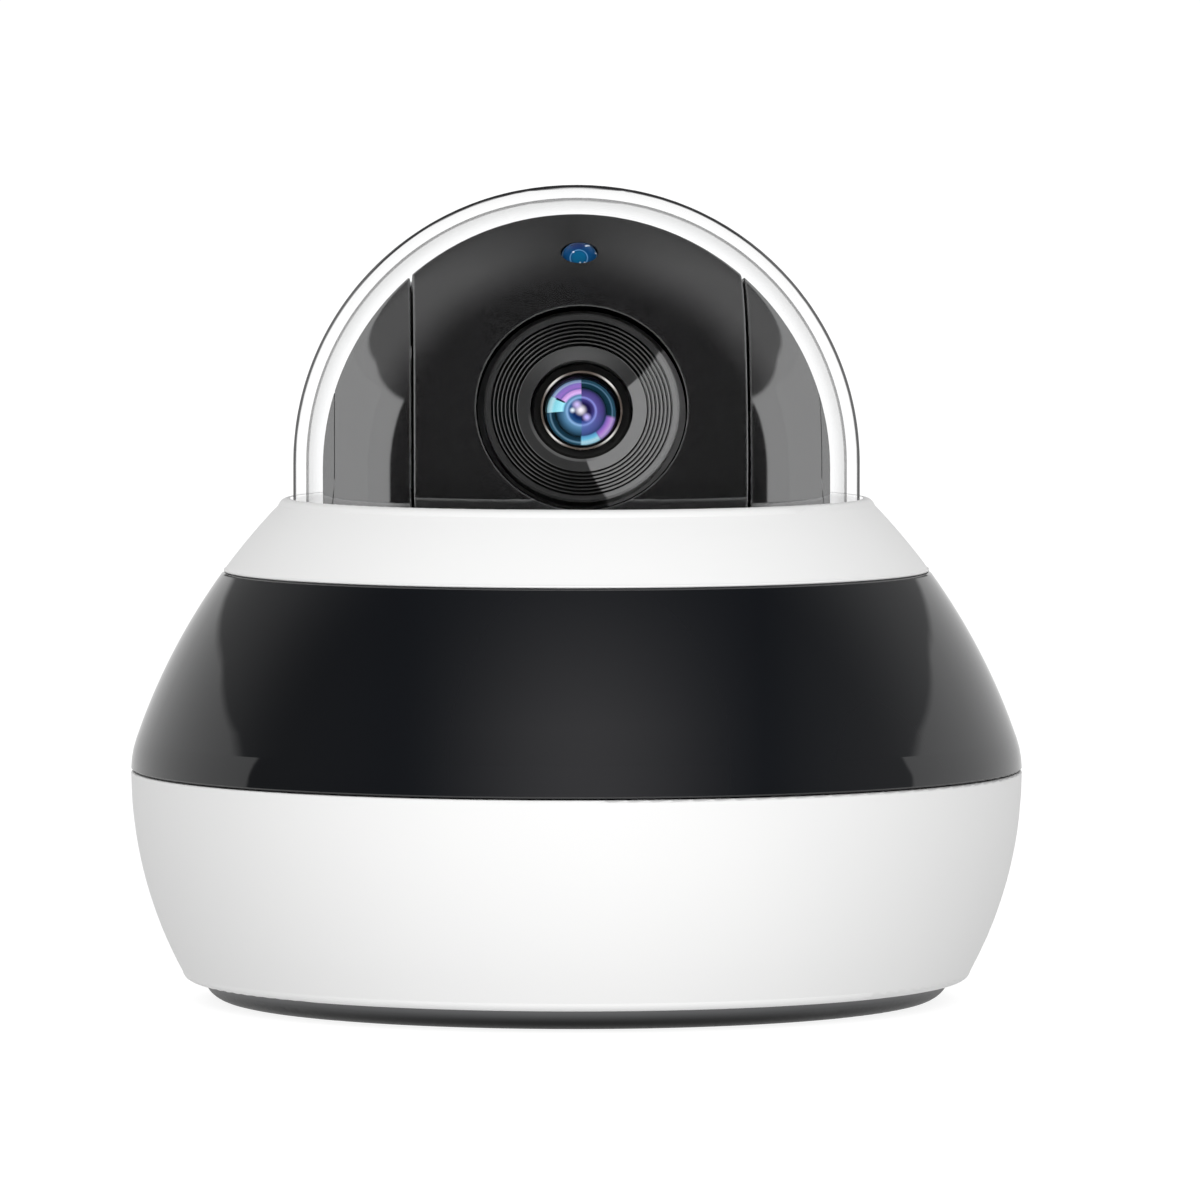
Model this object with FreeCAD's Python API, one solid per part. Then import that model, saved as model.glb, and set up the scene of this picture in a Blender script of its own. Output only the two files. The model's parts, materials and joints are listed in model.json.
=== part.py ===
"""Indoor pan and tilt security camera with a clear dome, as an assembly of separate pieces.

Frame: millimetres, +Z up, origin at the centre of the resting face. The front is -Y.
The squat base holds the main board, speaker, infrared lamps and pan motor. A turntable in the
dome turns about Z. It carries two yoke arms, and between them the camera head tilts about X.
"""

import FreeCAD
import Part
import math
import os

from FreeCAD import Vector

# ---------------------------------------------------------------- driving dimensions
BODY_R = 55.0            # widest radius, at the seam over the lower shell
SEAM_Z = 28.5            # lower shell to dark window band
COLLAR_Z = 53.0          # window band to upper collar
COLLAR_TOP_Z = 62.0
SHELL_BOTTOM_Z = 2.7
LOWER_ARC_R = 52.0       # outline of the lower shell
SHOULDER_ARC_R = 12.0    # outline just over the seam
SHOULDER_TURN = 19.0     # degrees that the shoulder arc turns before the long arc begins
UPPER_ARC_R = 78.0       # outline of the band and the collar
SHELL_WALL = 2.2
BAND_WALL = 2.0
SEAM_GAP = 0.1

FOOT_R = 46.2
FOOT_FLOOR_Z = 0.8       # underside of the bottom cover inside the foot ring
FOOT_RIM_Z = 0.15        # underside of the bottom cover outside the foot ring
COVER_FLOOR_TOP_Z = 2.6
THREAD_MINOR_R = 2.6     # 1/4 inch tripod thread, tapped minor radius
INSERT_R = 4.6

HEAD_Z = 65.65           # centre of the dome and of the head, and height of the tilt axis
HEAD_R = 31.3
HEAD_WALL = 1.6
HEAD_HALF_WIDTH = 20.25
HEAD_SIDE_GAP = 0.3
REST_ELEVATION = 17.0    # how far the lens looks up at rest, degrees
DOME_SIDE_R = 34.25      # the dome's side arc, struck from just off the axis
DOME_SIDE_OFFSET = 0.7
DOME_SIDE_Z = 66.25
DOME_CROWN_R = 37.9      # the flatter crown, struck from the axis
DOME_WALL = 1.6

LENS_OPENING_R = 12.6
BEZEL_R = 11.8
BEZEL_FACE = 28.7        # distance of the bezel's face from the head's centre

DECK_Z = 24.8            # underside of the chassis deck
DECK_T = 2.0
BOARD_Z = 7.9            # underside of the main board
BOARD_T = 1.6
TURNTABLE_Z = 30.3
TURNTABLE_T = 2.0
TURNTABLE_R = 31.2

PRESSURE_ANGLE = 25.0
PAN_MODULE = 0.5
PAN_TEETH = 72
PAN_PINION_TEETH = 15
TILT_MODULE = 0.4
TILT_TEETH = 60
TILT_PINION_TEETH = 12
BACKLASH = 0.07

PILLAR_R_POS = 41.0      # circle of the four pillars that the screws go into
PILLAR_R = 3.2
BOARD_POST_POS = 33.0
QUARTERS = (45, 135, 225, 315)
BOARD_SCREW_ANGLES = (135, 225, 315)

DOME_R = DOME_SIDE_R + DOME_SIDE_OFFSET
DECK_TOP = DECK_Z + DECK_T
BOARD_TOP = BOARD_Z + BOARD_T
TURNTABLE_TOP = TURNTABLE_Z + TURNTABLE_T
PAN_CENTRES = PAN_MODULE * (PAN_TEETH + PAN_PINION_TEETH) / 2
TILT_CENTRES = TILT_MODULE * (TILT_TEETH + TILT_PINION_TEETH) / 2

ORIGIN = Vector(0, 0, 0)
X_AXIS = Vector(1, 0, 0)
Y_AXIS = Vector(0, 1, 0)
Z_AXIS = Vector(0, 0, 1)
CLEAR = 1.0              # how far a cutting tool runs past what it cuts

made = {}


# ---------------------------------------------------------------- helpers
def cylinder(r, z0, z1, x=0.0, y=0.0):
    """A cylinder along Z."""
    return Part.makeCylinder(r, z1 - z0, Vector(x, y, z0))


def tube(r_out, r_in, z0, z1, x=0.0, y=0.0):
    """A round tube along Z."""
    return cylinder(r_out, z0, z1, x, y).cut(cylinder(r_in, z0 - CLEAR, z1 + CLEAR, x, y))


def block(x0, x1, y0, y1, z0, z1):
    """A box between two corners."""
    return Part.makeBox(x1 - x0, y1 - y0, z1 - z0, Vector(x0, y0, z0))


def rod_x(r, x0, x1, y=0.0, z=0.0):
    """A cylinder along X."""
    return Part.makeCylinder(r, x1 - x0, Vector(x0, y, z), X_AXIS)


def rod_y(r, y0, y1, x=0.0, z=0.0):
    """A cylinder along Y."""
    return Part.makeCylinder(r, y1 - y0, Vector(x, y0, z), Y_AXIS)


def moved(shape, x=0.0, y=0.0, z=0.0):
    """A moved copy."""
    copy = shape.copy()
    copy.translate(Vector(x, y, z))
    return copy


def turned_about(shape, degrees, axis=Z_AXIS, centre=ORIGIN):
    """A rotated copy."""
    copy = shape.copy()
    copy.rotate(centre, axis, degrees)
    return copy


def around(shape, angles):
    """Copies of a shape at several angles about Z, as a list."""
    return [turned_about(shape, angle) for angle in angles]


def fused(shapes):
    """One solid from shapes that meet."""
    return shapes[0].multiFuse(list(shapes[1:])).removeSplitter()


def cut_all(shape, tools):
    """A shape with every tool taken away."""
    return shape.cut(Part.makeCompound(list(tools)))


def outline(start, *steps):
    """A closed wire in the XZ plane. A step is an end point, or a mid point and an end point for an arc."""
    edges, here = [], start
    for step in steps + (start,):
        points = [Vector(r, 0, z) for r, z in ((step,) if isinstance(step[0], (int, float)) else step)]
        begin = Vector(here[0], 0, here[1])
        if len(points) == 2:
            edges.append(Part.Arc(begin, points[0], points[1]).toShape())
        elif begin.distanceToPoint(points[0]) > 1e-7:
            edges.append(Part.LineSegment(begin, points[0]).toShape())
        here = (points[-1].x, points[-1].z)
    return Part.Wire(edges)


def turned(start, *steps):
    """A solid of revolution about Z from an outline of (radius, height) points."""
    return Part.Face(outline(start, *steps)).revolve(ORIGIN, Z_AXIS, 360)


def screw(length, head_r=2.0, head_h=1.3, shank_r=0.95):
    """A pan-head screw pointing down, with its head's underside at the origin and a cross recess."""
    head = turned((0, 0), (head_r, 0), ((head_r * 0.85, head_h * 0.75), (head_r * 0.45, head_h)), (0, head_h))
    body = head.fuse(cylinder(shank_r, -length, 0))
    slot = block(-head_r * 0.6, head_r * 0.6, -0.22, 0.22, head_h * 0.5, head_h + CLEAR)
    return body.cut(slot.fuse(turned_about(slot, 90)))


def keep(name, *solids):
    """Records a node made of one or more solids."""
    flat = [s for shape in solids for s in shape.Solids]
    made[name] = flat[0] if len(flat) == 1 else Part.makeCompound(flat)


# ---------------------------------------------------------------- outline of the body
def lower_r(z, inset=0.0):
    """Radius of the lower shell's outline at a height, moved inwards by an inset."""
    radius = LOWER_ARC_R - inset
    return BODY_R - LOWER_ARC_R + math.sqrt(radius ** 2 - (z - SEAM_Z) ** 2)


def upper_arc():
    """The centre of the long arc over the shoulder, and the height where it begins."""
    turn = math.radians(SHOULDER_TURN)
    begin_r = BODY_R - SHOULDER_ARC_R * (1 - math.cos(turn))
    begin_z = SEAM_Z + SHOULDER_ARC_R * math.sin(turn)
    return begin_r - UPPER_ARC_R * math.cos(turn), begin_z - UPPER_ARC_R * math.sin(turn)


def upper_r(z, inset=0.0):
    """Radius of the band's and collar's outline at a height, moved inwards by an inset."""
    centre_r, centre_z = upper_arc()
    turn = math.radians(SHOULDER_TURN)
    if z < SEAM_Z + (SHOULDER_ARC_R - inset) * math.sin(turn):
        return BODY_R - SHOULDER_ARC_R + math.sqrt((SHOULDER_ARC_R - inset) ** 2 - (z - SEAM_Z) ** 2)
    return centre_r + math.sqrt((UPPER_ARC_R - inset) ** 2 - (z - centre_z) ** 2)


def arc_step(radius_at, z_from, z_to, inset=0.0):
    """An arc step of an outline along one of the two functions above."""
    z_mid = (z_from + z_to) / 2
    return (radius_at(z_mid, inset), z_mid), (radius_at(z_to, inset), z_to)


# ---------------------------------------------------------------- base: casings
def rounded_port(width, height, corner, x, z, y0, y1):
    """A rounded rectangular tool along Y."""
    flat = block(x - width / 2, x + width / 2, y0, y1, z - height / 2, z + height / 2)
    along_y = [e for e in flat.Edges if abs(e.tangentAt(e.FirstParameter).y) > 0.9]
    return flat.makeFillet(corner, along_y)


USB_Z = BOARD_TOP + 1.4
SWITCH_X = 14.0
SWITCH_Z = BOARD_TOP + 1.8
CARD_X = -14.0
CARD_Z = BOARD_TOP + 0.8
MIC_X = 19.0
SPEAKER_ANGLE = 22.0     # direction of the speaker about Z, degrees from +X
SPEAKER_Z = 14.6
SPEAKER_R = 9.5
SPEAKER_FACE = 45.2
GRILLE_PITCH = 2.3
GRILLE_R = 6.8
GRILLE_HOLE_R = 0.65


def grille_tools():
    """The speaker grille: a hexagonal field of holes through the lower shell."""
    tools = []
    rows = int(GRILLE_R / (GRILLE_PITCH * math.sin(math.radians(60)))) + 1
    for row in range(-rows, rows + 1):
        z = row * GRILLE_PITCH * math.sin(math.radians(60))
        for column in range(-rows - 1, rows + 2):
            across = (column + (row % 2) / 2) * GRILLE_PITCH
            if math.hypot(across, z) <= GRILLE_R:
                hole = rod_x(GRILLE_HOLE_R, SPEAKER_FACE + 2, BODY_R + CLEAR, across, SPEAKER_Z + z)
                tools.append(turned_about(hole, SPEAKER_ANGLE))
    return tools


def lower_shell():
    corner = 1.3
    edge = 0.3
    rim_z = SEAM_Z - SEAM_GAP
    floor_z = SHELL_BOTTOM_Z + 1.8
    foot_z = SHELL_BOTTOM_Z + corner * 0.75
    ledge_r = 41.0
    skin = turned(
        (ledge_r, SHELL_BOTTOM_Z),
        (lower_r(foot_z) - corner * 1.05, SHELL_BOTTOM_Z),
        ((lower_r(foot_z) - corner * 0.3, SHELL_BOTTOM_Z + corner * 0.22), (lower_r(foot_z), foot_z)),
        arc_step(lower_r, foot_z, rim_z - edge),
        ((BODY_R - edge * 0.3, rim_z - edge * 0.3), (BODY_R - edge, rim_z)),
        (BODY_R - SHELL_WALL, rim_z),
        arc_step(lower_r, rim_z, floor_z, SHELL_WALL),
        (ledge_r, floor_z),
    )
    pillar = cylinder(PILLAR_R, SHELL_BOTTOM_Z + 0.5, DECK_Z, PILLAR_R_POS)
    shell = fused([skin] + around(pillar, QUARTERS))
    tools = around(cylinder(1.0, SHELL_BOTTOM_Z - CLEAR, 13.0, PILLAR_R_POS), QUARTERS)
    tools += around(cylinder(1.0, 15.0, DECK_Z + CLEAR, PILLAR_R_POS), QUARTERS)
    tools.append(rounded_port(11.4, 6.8, 1.6, 0, USB_Z, 44, BODY_R + CLEAR))
    tools.append(rounded_port(13.0, 2.2, 0.9, CARD_X, CARD_Z, 38, BODY_R + CLEAR))
    tools.append(rod_y(1.3, 44, BODY_R, SWITCH_X, SWITCH_Z))
    tools.append(rod_y(0.6, 38, BODY_R, MIC_X, SWITCH_Z))
    keep("lower_shell", cut_all(shell, tools + grille_tools()))


def ir_window_band():
    z0, z1 = SEAM_Z + SEAM_GAP, COLLAR_Z - SEAM_GAP
    bend = math.sin(math.radians(SHOULDER_TURN))
    outer_bend = SEAM_Z + SHOULDER_ARC_R * bend
    inner_bend = SEAM_Z + (SHOULDER_ARC_R - BAND_WALL) * bend
    edge = 0.2
    skin = turned(
        (upper_r(z0) - edge, z0),
        (upper_r(z0 + edge), z0 + edge),
        arc_step(upper_r, z0 + edge, outer_bend),
        arc_step(upper_r, outer_bend, z1 - edge),
        (upper_r(z1) - edge, z1),
        (upper_r(z1, BAND_WALL), z1),
        arc_step(upper_r, z1, inner_bend, BAND_WALL),
        arc_step(upper_r, inner_bend, z0, BAND_WALL),
    )
    step = tube(BODY_R - BAND_WALL + 0.3, 51.0, z0, z0 + 2.0)
    spigot = tube(BODY_R - SHELL_WALL - 0.2, 51.0, SEAM_Z - 1.5, z0 + 0.5)
    keep("ir_window_band", fused([skin, step, spigot]))


DOME_FLANGE_R = 38.4
DOME_FLANGE_Z = 53.5
DOME_FLANGE_TOP = 55.0
COLLAR_LEDGE_Z = 55.5
COLLAR_LIP_R = 39.4


def upper_collar():
    z0 = COLLAR_Z
    bore = DOME_R + 0.2
    round_z = COLLAR_TOP_Z - 0.9
    edge = 0.35
    lip_r = upper_r(z0, BAND_WALL) - 0.3
    skin = turned(
        (lip_r, z0),
        (upper_r(z0) - edge, z0),
        ((upper_r(z0) - edge * 0.15, z0 + edge * 0.4), (upper_r(z0 + edge), z0 + edge)),
        arc_step(upper_r, z0 + edge, round_z),
        ((upper_r(round_z) - 0.5, COLLAR_TOP_Z - 0.2), (bore + 0.5, COLLAR_TOP_Z)),
        ((bore + 0.1, COLLAR_TOP_Z - 0.1), (bore, COLLAR_TOP_Z - 0.5)),
        (bore, COLLAR_LEDGE_Z),
        (COLLAR_LIP_R, COLLAR_LEDGE_Z),
        (COLLAR_LIP_R, z0 - 2.2),
        (lip_r, z0 - 2.2),
    )
    keep("upper_collar", skin)


def dome_arcs(inset):
    """The dome's crown top, and where its crown arc meets its side arc, moved inwards by an inset."""
    crown_z = DOME_SIDE_Z - math.sqrt((DOME_CROWN_R - DOME_SIDE_R) ** 2 - DOME_SIDE_OFFSET ** 2)
    turn = math.atan2(DOME_SIDE_OFFSET, DOME_SIDE_Z - crown_z)
    side_r = DOME_SIDE_R - inset
    crown_r = DOME_CROWN_R - inset

    def crown(angle):
        return crown_r * math.sin(angle), crown_z + crown_r * math.cos(angle)

    middle = (turn + math.pi / 2) / 2
    side = (DOME_SIDE_OFFSET + side_r * math.sin(middle), DOME_SIDE_Z + side_r * math.cos(middle))
    return crown(0), crown(turn / 2), crown(turn), side, (DOME_SIDE_OFFSET + side_r, DOME_SIDE_Z)


def dome():
    in_top, in_crown, in_join, in_side, in_foot = dome_arcs(DOME_WALL)
    out_top, out_crown, out_join, out_side, out_foot = dome_arcs(0)
    keep("dome_cover", turned(
        in_top,
        (in_crown, in_join),
        (in_side, in_foot),
        (in_foot[0], DOME_FLANGE_Z),
        (DOME_FLANGE_R, DOME_FLANGE_Z),
        (DOME_FLANGE_R, DOME_FLANGE_TOP),
        (out_foot[0], DOME_FLANGE_TOP),
        out_foot,
        (out_side, out_join),
        (out_crown, out_top),
    ))
    keep("dome_gasket", tube(38.0, 35.6, DOME_FLANGE_TOP, COLLAR_LEDGE_Z))
    retainer = tube(COLLAR_LIP_R - 0.05, 35.4, DOME_FLANGE_Z - 1.6, DOME_FLANGE_Z)
    notches = around(block(37.4, 41, -2, 2, DOME_FLANGE_Z - 3, DOME_FLANGE_Z - 0.8), range(0, 360, 60))
    keep("dome_retainer", cut_all(retainer, notches))


def bottom_cover():
    rim_z = SHELL_BOTTOM_Z - 0.05
    groove_in, groove_out = 34.0, 38.0
    skin = turned(
        (0, FOOT_FLOOR_Z),
        (groove_in, FOOT_FLOOR_Z),
        (groove_in, FOOT_FLOOR_Z + 0.8),
        (groove_out, FOOT_FLOOR_Z + 0.8),
        (groove_out, FOOT_RIM_Z),
        (FOOT_R - 3.2, FOOT_RIM_Z),
        ((FOOT_R - 1.6, FOOT_RIM_Z + 0.5), (FOOT_R - 0.5, FOOT_RIM_Z + 1.6)),
        (FOOT_R, rim_z),
        (0, rim_z),
    )
    pillar_bays = around(cylinder(PILLAR_R + 0.4, rim_z, 10.0, PILLAR_R_POS), QUARTERS)
    spigot = cut_all(tube(40.8, 39.5, rim_z - 0.3, SHELL_BOTTOM_Z + 1.6), pillar_bays)
    boss = cylinder(7.6, rim_z - 0.3, 7.3)
    posts = around(cylinder(2.6, rim_z - 0.3, BOARD_Z, BOARD_POST_POS), QUARTERS)
    cover = fused([skin, spigot, boss] + posts)
    tools = [cylinder(INSERT_R, FOOT_FLOOR_Z - CLEAR, 6.4)]
    tools += around(cylinder(0.85, 4.2, BOARD_Z + CLEAR, BOARD_POST_POS), QUARTERS)
    tools += around(cylinder(1.3, -CLEAR, 6.0, PILLAR_R_POS), QUARTERS)
    tools += around(cylinder(2.4, -CLEAR, 1.7, PILLAR_R_POS), QUARTERS)
    vent = block(14, 27, -0.8, 0.8, FOOT_FLOOR_Z - CLEAR, rim_z + CLEAR)
    tools += around(vent, [15 * step for step in range(24) if step % 6 not in (2, 3, 4)])
    keep("bottom_cover", cut_all(cover, tools))

    keep("foot_ring", tube(groove_out - 0.05, groove_in + 0.05, 0, FOOT_FLOOR_Z + 0.8))
    fastener = turned_about(screw(8.0, head_r=2.1, head_h=1.2), 180, X_AXIS)
    keep("bottom_cover_screws", *around(moved(fastener, PILLAR_R_POS, 0, 1.7), QUARTERS))

    body = tube(INSERT_R, THREAD_MINOR_R, FOOT_FLOOR_Z + 0.1, 6.4)
    grooves = [tube(INSERT_R + CLEAR, INSERT_R - 0.35, z, z + 0.7) for z in (2.4, 4.2)]
    keep("tripod_insert", cut_all(body, grooves))


# ---------------------------------------------------------------- base: chassis and pan drive
PAN_HUB_R = 9.0
PAN_HUB_BORE = 6.5
PAN_BUSH_R = 11.0
STOP_IN, STOP_OUT = 28.6, 30.4
STOP_HALF_W = 0.5
MOTOR_Y = -PAN_CENTRES
RETAINER_Z = TURNTABLE_TOP + 0.15


def chassis():
    deck = cylinder(50.5, DECK_Z, DECK_TOP)
    hub = cylinder(PAN_HUB_R, DECK_Z, TURNTABLE_TOP + 0.1)
    stop = block(-STOP_HALF_W, STOP_HALF_W, STOP_IN, STOP_OUT, DECK_TOP - 0.5, DECK_TOP + 2.8)
    plate = fused([deck, hub, stop])
    tools = [cylinder(PAN_HUB_BORE, DECK_Z - CLEAR, TURNTABLE_TOP + 2)]
    tools += around(cylinder(1.3, DECK_Z - CLEAR, DECK_TOP + CLEAR, PILLAR_R_POS), QUARTERS)
    tools.append(cylinder(4.7, DECK_Z - CLEAR, DECK_TOP + CLEAR, 0, MOTOR_Y))
    tools += [cylinder(0.9, DECK_Z - CLEAR, DECK_TOP + CLEAR, x, MOTOR_Y) for x in (-15.5, 15.5)]
    window = block(16, 26, -3, 3, DECK_Z - CLEAR, DECK_TOP + CLEAR)
    tools += around(window, (40, 140, 180, 0))
    keep("chassis_deck", cut_all(plate, tools))
    ring = tube(12.4, 5.6, RETAINER_Z, RETAINER_Z + 0.6)
    keep("pan_retainer", ring.fuse(tube(PAN_HUB_BORE - 0.02, 5.6, DECK_TOP, RETAINER_Z + 0.1)))


def pan_motor():
    can_r = 12.0
    can = tube(can_r, 1.1, 11.0, DECK_Z - 0.8, 0, MOTOR_Y)
    ears = block(-15.5, 15.5, MOTOR_Y - 3.5, MOTOR_Y + 3.5, DECK_Z - 0.8, DECK_Z)
    ears = fused([ears] + [cylinder(3.5, DECK_Z - 0.8, DECK_Z, x, MOTOR_Y) for x in (-15.5, 15.5)])
    boss = tube(4.5, 1.1, DECK_Z - 0.8, DECK_TOP - 0.4, 0, MOTOR_Y)
    plug = block(-4.5, 4.5, MOTOR_Y - can_r - 2.2, MOTOR_Y - can_r + 1.5, 13, 19)
    body = fused([can, ears, boss, plug])
    tools = [cylinder(1.1, 9, DECK_TOP + 2, 0, MOTOR_Y)]
    tools += [cylinder(1.0, DECK_Z - 2, DECK_Z + CLEAR, x, MOTOR_Y) for x in (-15.5, 15.5)]
    base_cap = cylinder(3.0, 10.6, 11.2, 0, MOTOR_Y)
    keep("pan_motor", cut_all(body, tools).fuse(base_cap))
    keep("pan_motor_shaft", cylinder(1.0, 12.0, TURNTABLE_Z - 0.2, 0, MOTOR_Y))


def base_screws():
    """The small screws of the base: four in the deck, two in the motor, three in the board."""
    fastener = screw(4.5, 1.8, 1.0, 0.8)
    spots = around(moved(fastener, PILLAR_R_POS, 0, DECK_TOP), QUARTERS)
    spots += [moved(fastener, x, MOTOR_Y, DECK_TOP) for x in (-15.5, 15.5)]
    spots += around(moved(fastener, BOARD_POST_POS, 0, BOARD_TOP), BOARD_SCREW_ANGLES)
    keep("base_screws", *spots)


# ---------------------------------------------------------------- gears
def involute(angle):
    """The involute function of a pressure angle in radians."""
    return math.tan(angle) - angle


def gear(teeth, module, bore, z0, z1, first_tooth):
    """A spur gear about Z with involute flanks. first_tooth is the angle of a tooth's middle, degrees."""
    pitch_r = module * teeth / 2
    pressure = math.radians(PRESSURE_ANGLE)
    base_r = pitch_r * math.cos(pressure)
    tip_r = pitch_r + module
    root_r = pitch_r - 1.25 * module
    half_pitch = math.pi / (2 * teeth) - BACKLASH / (2 * pitch_r)
    low_r = max(base_r, root_r)

    def half_angle(r):
        return half_pitch + involute(pressure) - involute(math.acos(min(1.0, base_r / r)))

    def at(r, angle):
        return Vector(r * math.cos(angle), r * math.sin(angle), 0)

    radii = [low_r + (tip_r - low_r) * step / 4 for step in range(5)]
    step_angle = 2 * math.pi / teeth
    edges = []
    for tooth in range(teeth):
        middle = math.radians(first_tooth) + tooth * step_angle
        rising = [at(r, middle - half_angle(r)) for r in radii]
        falling = [at(r, middle + half_angle(r)) for r in reversed(radii)]
        start = at(root_r, middle - half_angle(low_r))
        end = at(root_r, middle + half_angle(low_r))
        if low_r > root_r:
            edges.append(Part.LineSegment(start, rising[0]).toShape())
        for flank in (rising, falling):
            curve = Part.BSplineCurve()
            curve.interpolate(flank)
            edges.append(curve.toShape())
            if flank is rising:
                edges.append(Part.Arc(rising[-1], at(tip_r, middle), falling[0]).toShape())
        if low_r > root_r:
            edges.append(Part.LineSegment(falling[-1], end).toShape())
        following = at(root_r, middle + step_angle - half_angle(low_r))
        edges.append(Part.Arc(end, at(root_r, middle + step_angle / 2), following).toShape())
    face = Part.Face(Part.Wire(edges))
    solid = face.extrude(Vector(0, 0, z1 - z0))
    solid.translate(Vector(0, 0, z0))
    return solid.cut(cylinder(bore, z0 - CLEAR, z1 + CLEAR))


def pan_gears():
    z0 = DECK_TOP + 0.8
    keep("pan_gear", gear(PAN_TEETH, PAN_MODULE, 13.42, z0, TURNTABLE_Z, -90))
    pinion = gear(PAN_PINION_TEETH, PAN_MODULE, 1.0, z0 - 0.2, TURNTABLE_Z - 0.3, 90 + 180 / PAN_PINION_TEETH)
    keep("pan_pinion", moved(pinion, 0, MOTOR_Y, 0))


# ---------------------------------------------------------------- base: electronics
def main_board():
    disc = cylinder(38.5, BOARD_Z, BOARD_TOP)
    tongue = block(-22.5, 22.5, 20, 46.3, BOARD_Z, BOARD_TOP).common(cylinder(47.4, 0, 20))
    board = disc.fuse(tongue).removeSplitter()
    speaker_bay = turned_about(block(34.5, 60, -12, 12, 0, 20), SPEAKER_ANGLE)
    tools = around(cylinder(1.15, 0, 20, BOARD_POST_POS), QUARTERS) + [speaker_bay]
    pillar_bay = cylinder(PILLAR_R + 0.6, 0, 20, PILLAR_R_POS)
    keep("main_board", cut_all(board, tools + around(pillar_bay, QUARTERS)))
    processor = block(-23, -9, 1, 15, BOARD_TOP, BOARD_TOP + 1.2)
    sink_z = BOARD_TOP + 1.2
    fins = [block(-24 + 2.4 * n, -23.1 + 2.4 * n, 0, 16, sink_z + 1.0, sink_z + 5.0) for n in range(7)]
    keep("processor_heat_sink", fused([block(-24, -8.7, 0, 16, sink_z, sink_z + 1.1)] + fins))
    memory = block(4, 14, -5, 3, BOARD_TOP, BOARD_TOP + 1.1)
    flash = block(-6, -1, 6, 12, BOARD_TOP, BOARD_TOP + 1.5)
    keep("board_chips", processor, memory, flash)
    can = block(14, 27, 4.5, 17, BOARD_TOP, BOARD_TOP + 2.0)
    lid = block(14.8, 26.2, 5.3, 16.2, BOARD_TOP + 1.9, BOARD_TOP + 2.2)
    keep("radio_module", can.fuse(lid))

    headers = []
    for x, y, pins in ((-30, -8, 5), (-30, -20, 5), (24, -16, 4), (5, 24, 6)):
        width = 1.25 * pins + 2.4
        body = block(x - 2.2, x + 2.2, y - width / 2, y + width / 2, BOARD_TOP, BOARD_TOP + 4.0)
        headers.append(body.cut(block(x - 1.5, x + 3, y - width / 2 + 0.8, y + width / 2 - 0.8,
                                      BOARD_TOP + 1.0, BOARD_TOP + 5.0)))
    keep("board_headers", *headers)
    coils = [cylinder(2.6, BOARD_TOP, BOARD_TOP + 5.2, x, y) for x, y in ((-3, 27), (-12, 23), (12, 26))]
    keep("power_capacitors", *coils)


def rear_parts():
    outer = rounded_port(7.6, 2.8, 0.8, 0, USB_Z, 42.6, 48.2)
    mouth = rounded_port(6.9, 2.1, 0.6, 0, USB_Z, 43.6, 49)
    tongue = block(-1.9, 1.9, 43.4, 47.0, USB_Z - 0.1, USB_Z + 0.5)
    keep("usb_power_socket", outer.cut(mouth).fuse(tongue))
    socket = block(CARD_X - 7, CARD_X + 7, 29, 43.2, BOARD_TOP, BOARD_TOP + 1.9)
    slot = block(CARD_X - 5.6, CARD_X + 5.6, 30, 44, BOARD_TOP + 0.4, BOARD_TOP + 1.2)
    keep("card_socket", socket.cut(slot))
    switch = block(SWITCH_X - 2.6, SWITCH_X + 2.6, 38.4, 42.6, BOARD_TOP, BOARD_TOP + 3.6)
    keep("reset_switch", switch.fuse(rod_y(0.8, 42.4, 43.3, SWITCH_X, SWITCH_Z)))
    cap = fused([
        rod_y(1.2, 45.0, 49.9, SWITCH_X, SWITCH_Z),
        rod_y(1.75, 45.0, 46.4, SWITCH_X, SWITCH_Z),
        rod_y(1.0, 43.8, 45.1, SWITCH_X, SWITCH_Z),
    ])
    keep("reset_button", cap)
    keep("microphone", cylinder(2.0, BOARD_TOP, BOARD_TOP + 2.6, MIC_X, 38.4))


def speaker():
    depth = 4.6
    face = SPEAKER_FACE
    frame = rod_x(SPEAKER_R, face - depth, face, 0, SPEAKER_Z)
    bowl = Part.makeCone(3.0, SPEAKER_R - 1.3, 3.2, Vector(face - 3.2 + 0.01, 0, SPEAKER_Z), X_AXIS)
    frame = frame.cut(bowl).fuse(rod_x(6.0, face - depth - 2.0, face - depth + 0.1, 0, SPEAKER_Z))
    cone = Part.makeCone(2.9, SPEAKER_R - 1.45, 3.1, Vector(face - 3.15, 0, SPEAKER_Z), X_AXIS)
    hollow = Part.makeCone(2.6, SPEAKER_R - 1.7, 3.1, Vector(face - 2.85, 0, SPEAKER_Z), X_AXIS)
    keep("speaker", *[turned_about(piece, SPEAKER_ANGLE) for piece in (frame, cone.cut(hollow))])


IR_COUNT = 10
IR_Z = 40.0
IR_RING_R = 40.2


def infrared_lamps():
    ring = tube(IR_RING_R, IR_RING_R - 1.2, DECK_TOP, IR_Z + 6)
    windows = around(block(38, 46, -5, 5, DECK_TOP + 2.5, IR_Z - 6), range(0, 360, 45))
    screw_gaps = around(block(38, 46, -2.4, 2.4, DECK_TOP - CLEAR, DECK_TOP + 3), QUARTERS)
    keep("ir_lamp_holder", cut_all(ring, windows + screw_gaps))
    keep("ir_lamp_board", tube(IR_RING_R + 0.65, IR_RING_R + 0.05, IR_Z - 5.5, IR_Z + 5.5))
    base = IR_RING_R + 0.65
    lamp = fused([
        rod_x(2.8, base, base + 0.8, 0, IR_Z),
        rod_x(2.4, base + 0.5, base + 2.4, 0, IR_Z),
        Part.makeSphere(2.4, Vector(base + 2.4, 0, IR_Z)),
    ])
    spread = 360 / IR_COUNT
    keep("ir_lamps", *around(lamp, [spread * (n + 0.5) for n in range(IR_COUNT)]))
    keep("radio_antenna", block(-9, 9, -37.2, -33.2, DECK_TOP, DECK_TOP + 0.6))


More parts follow.
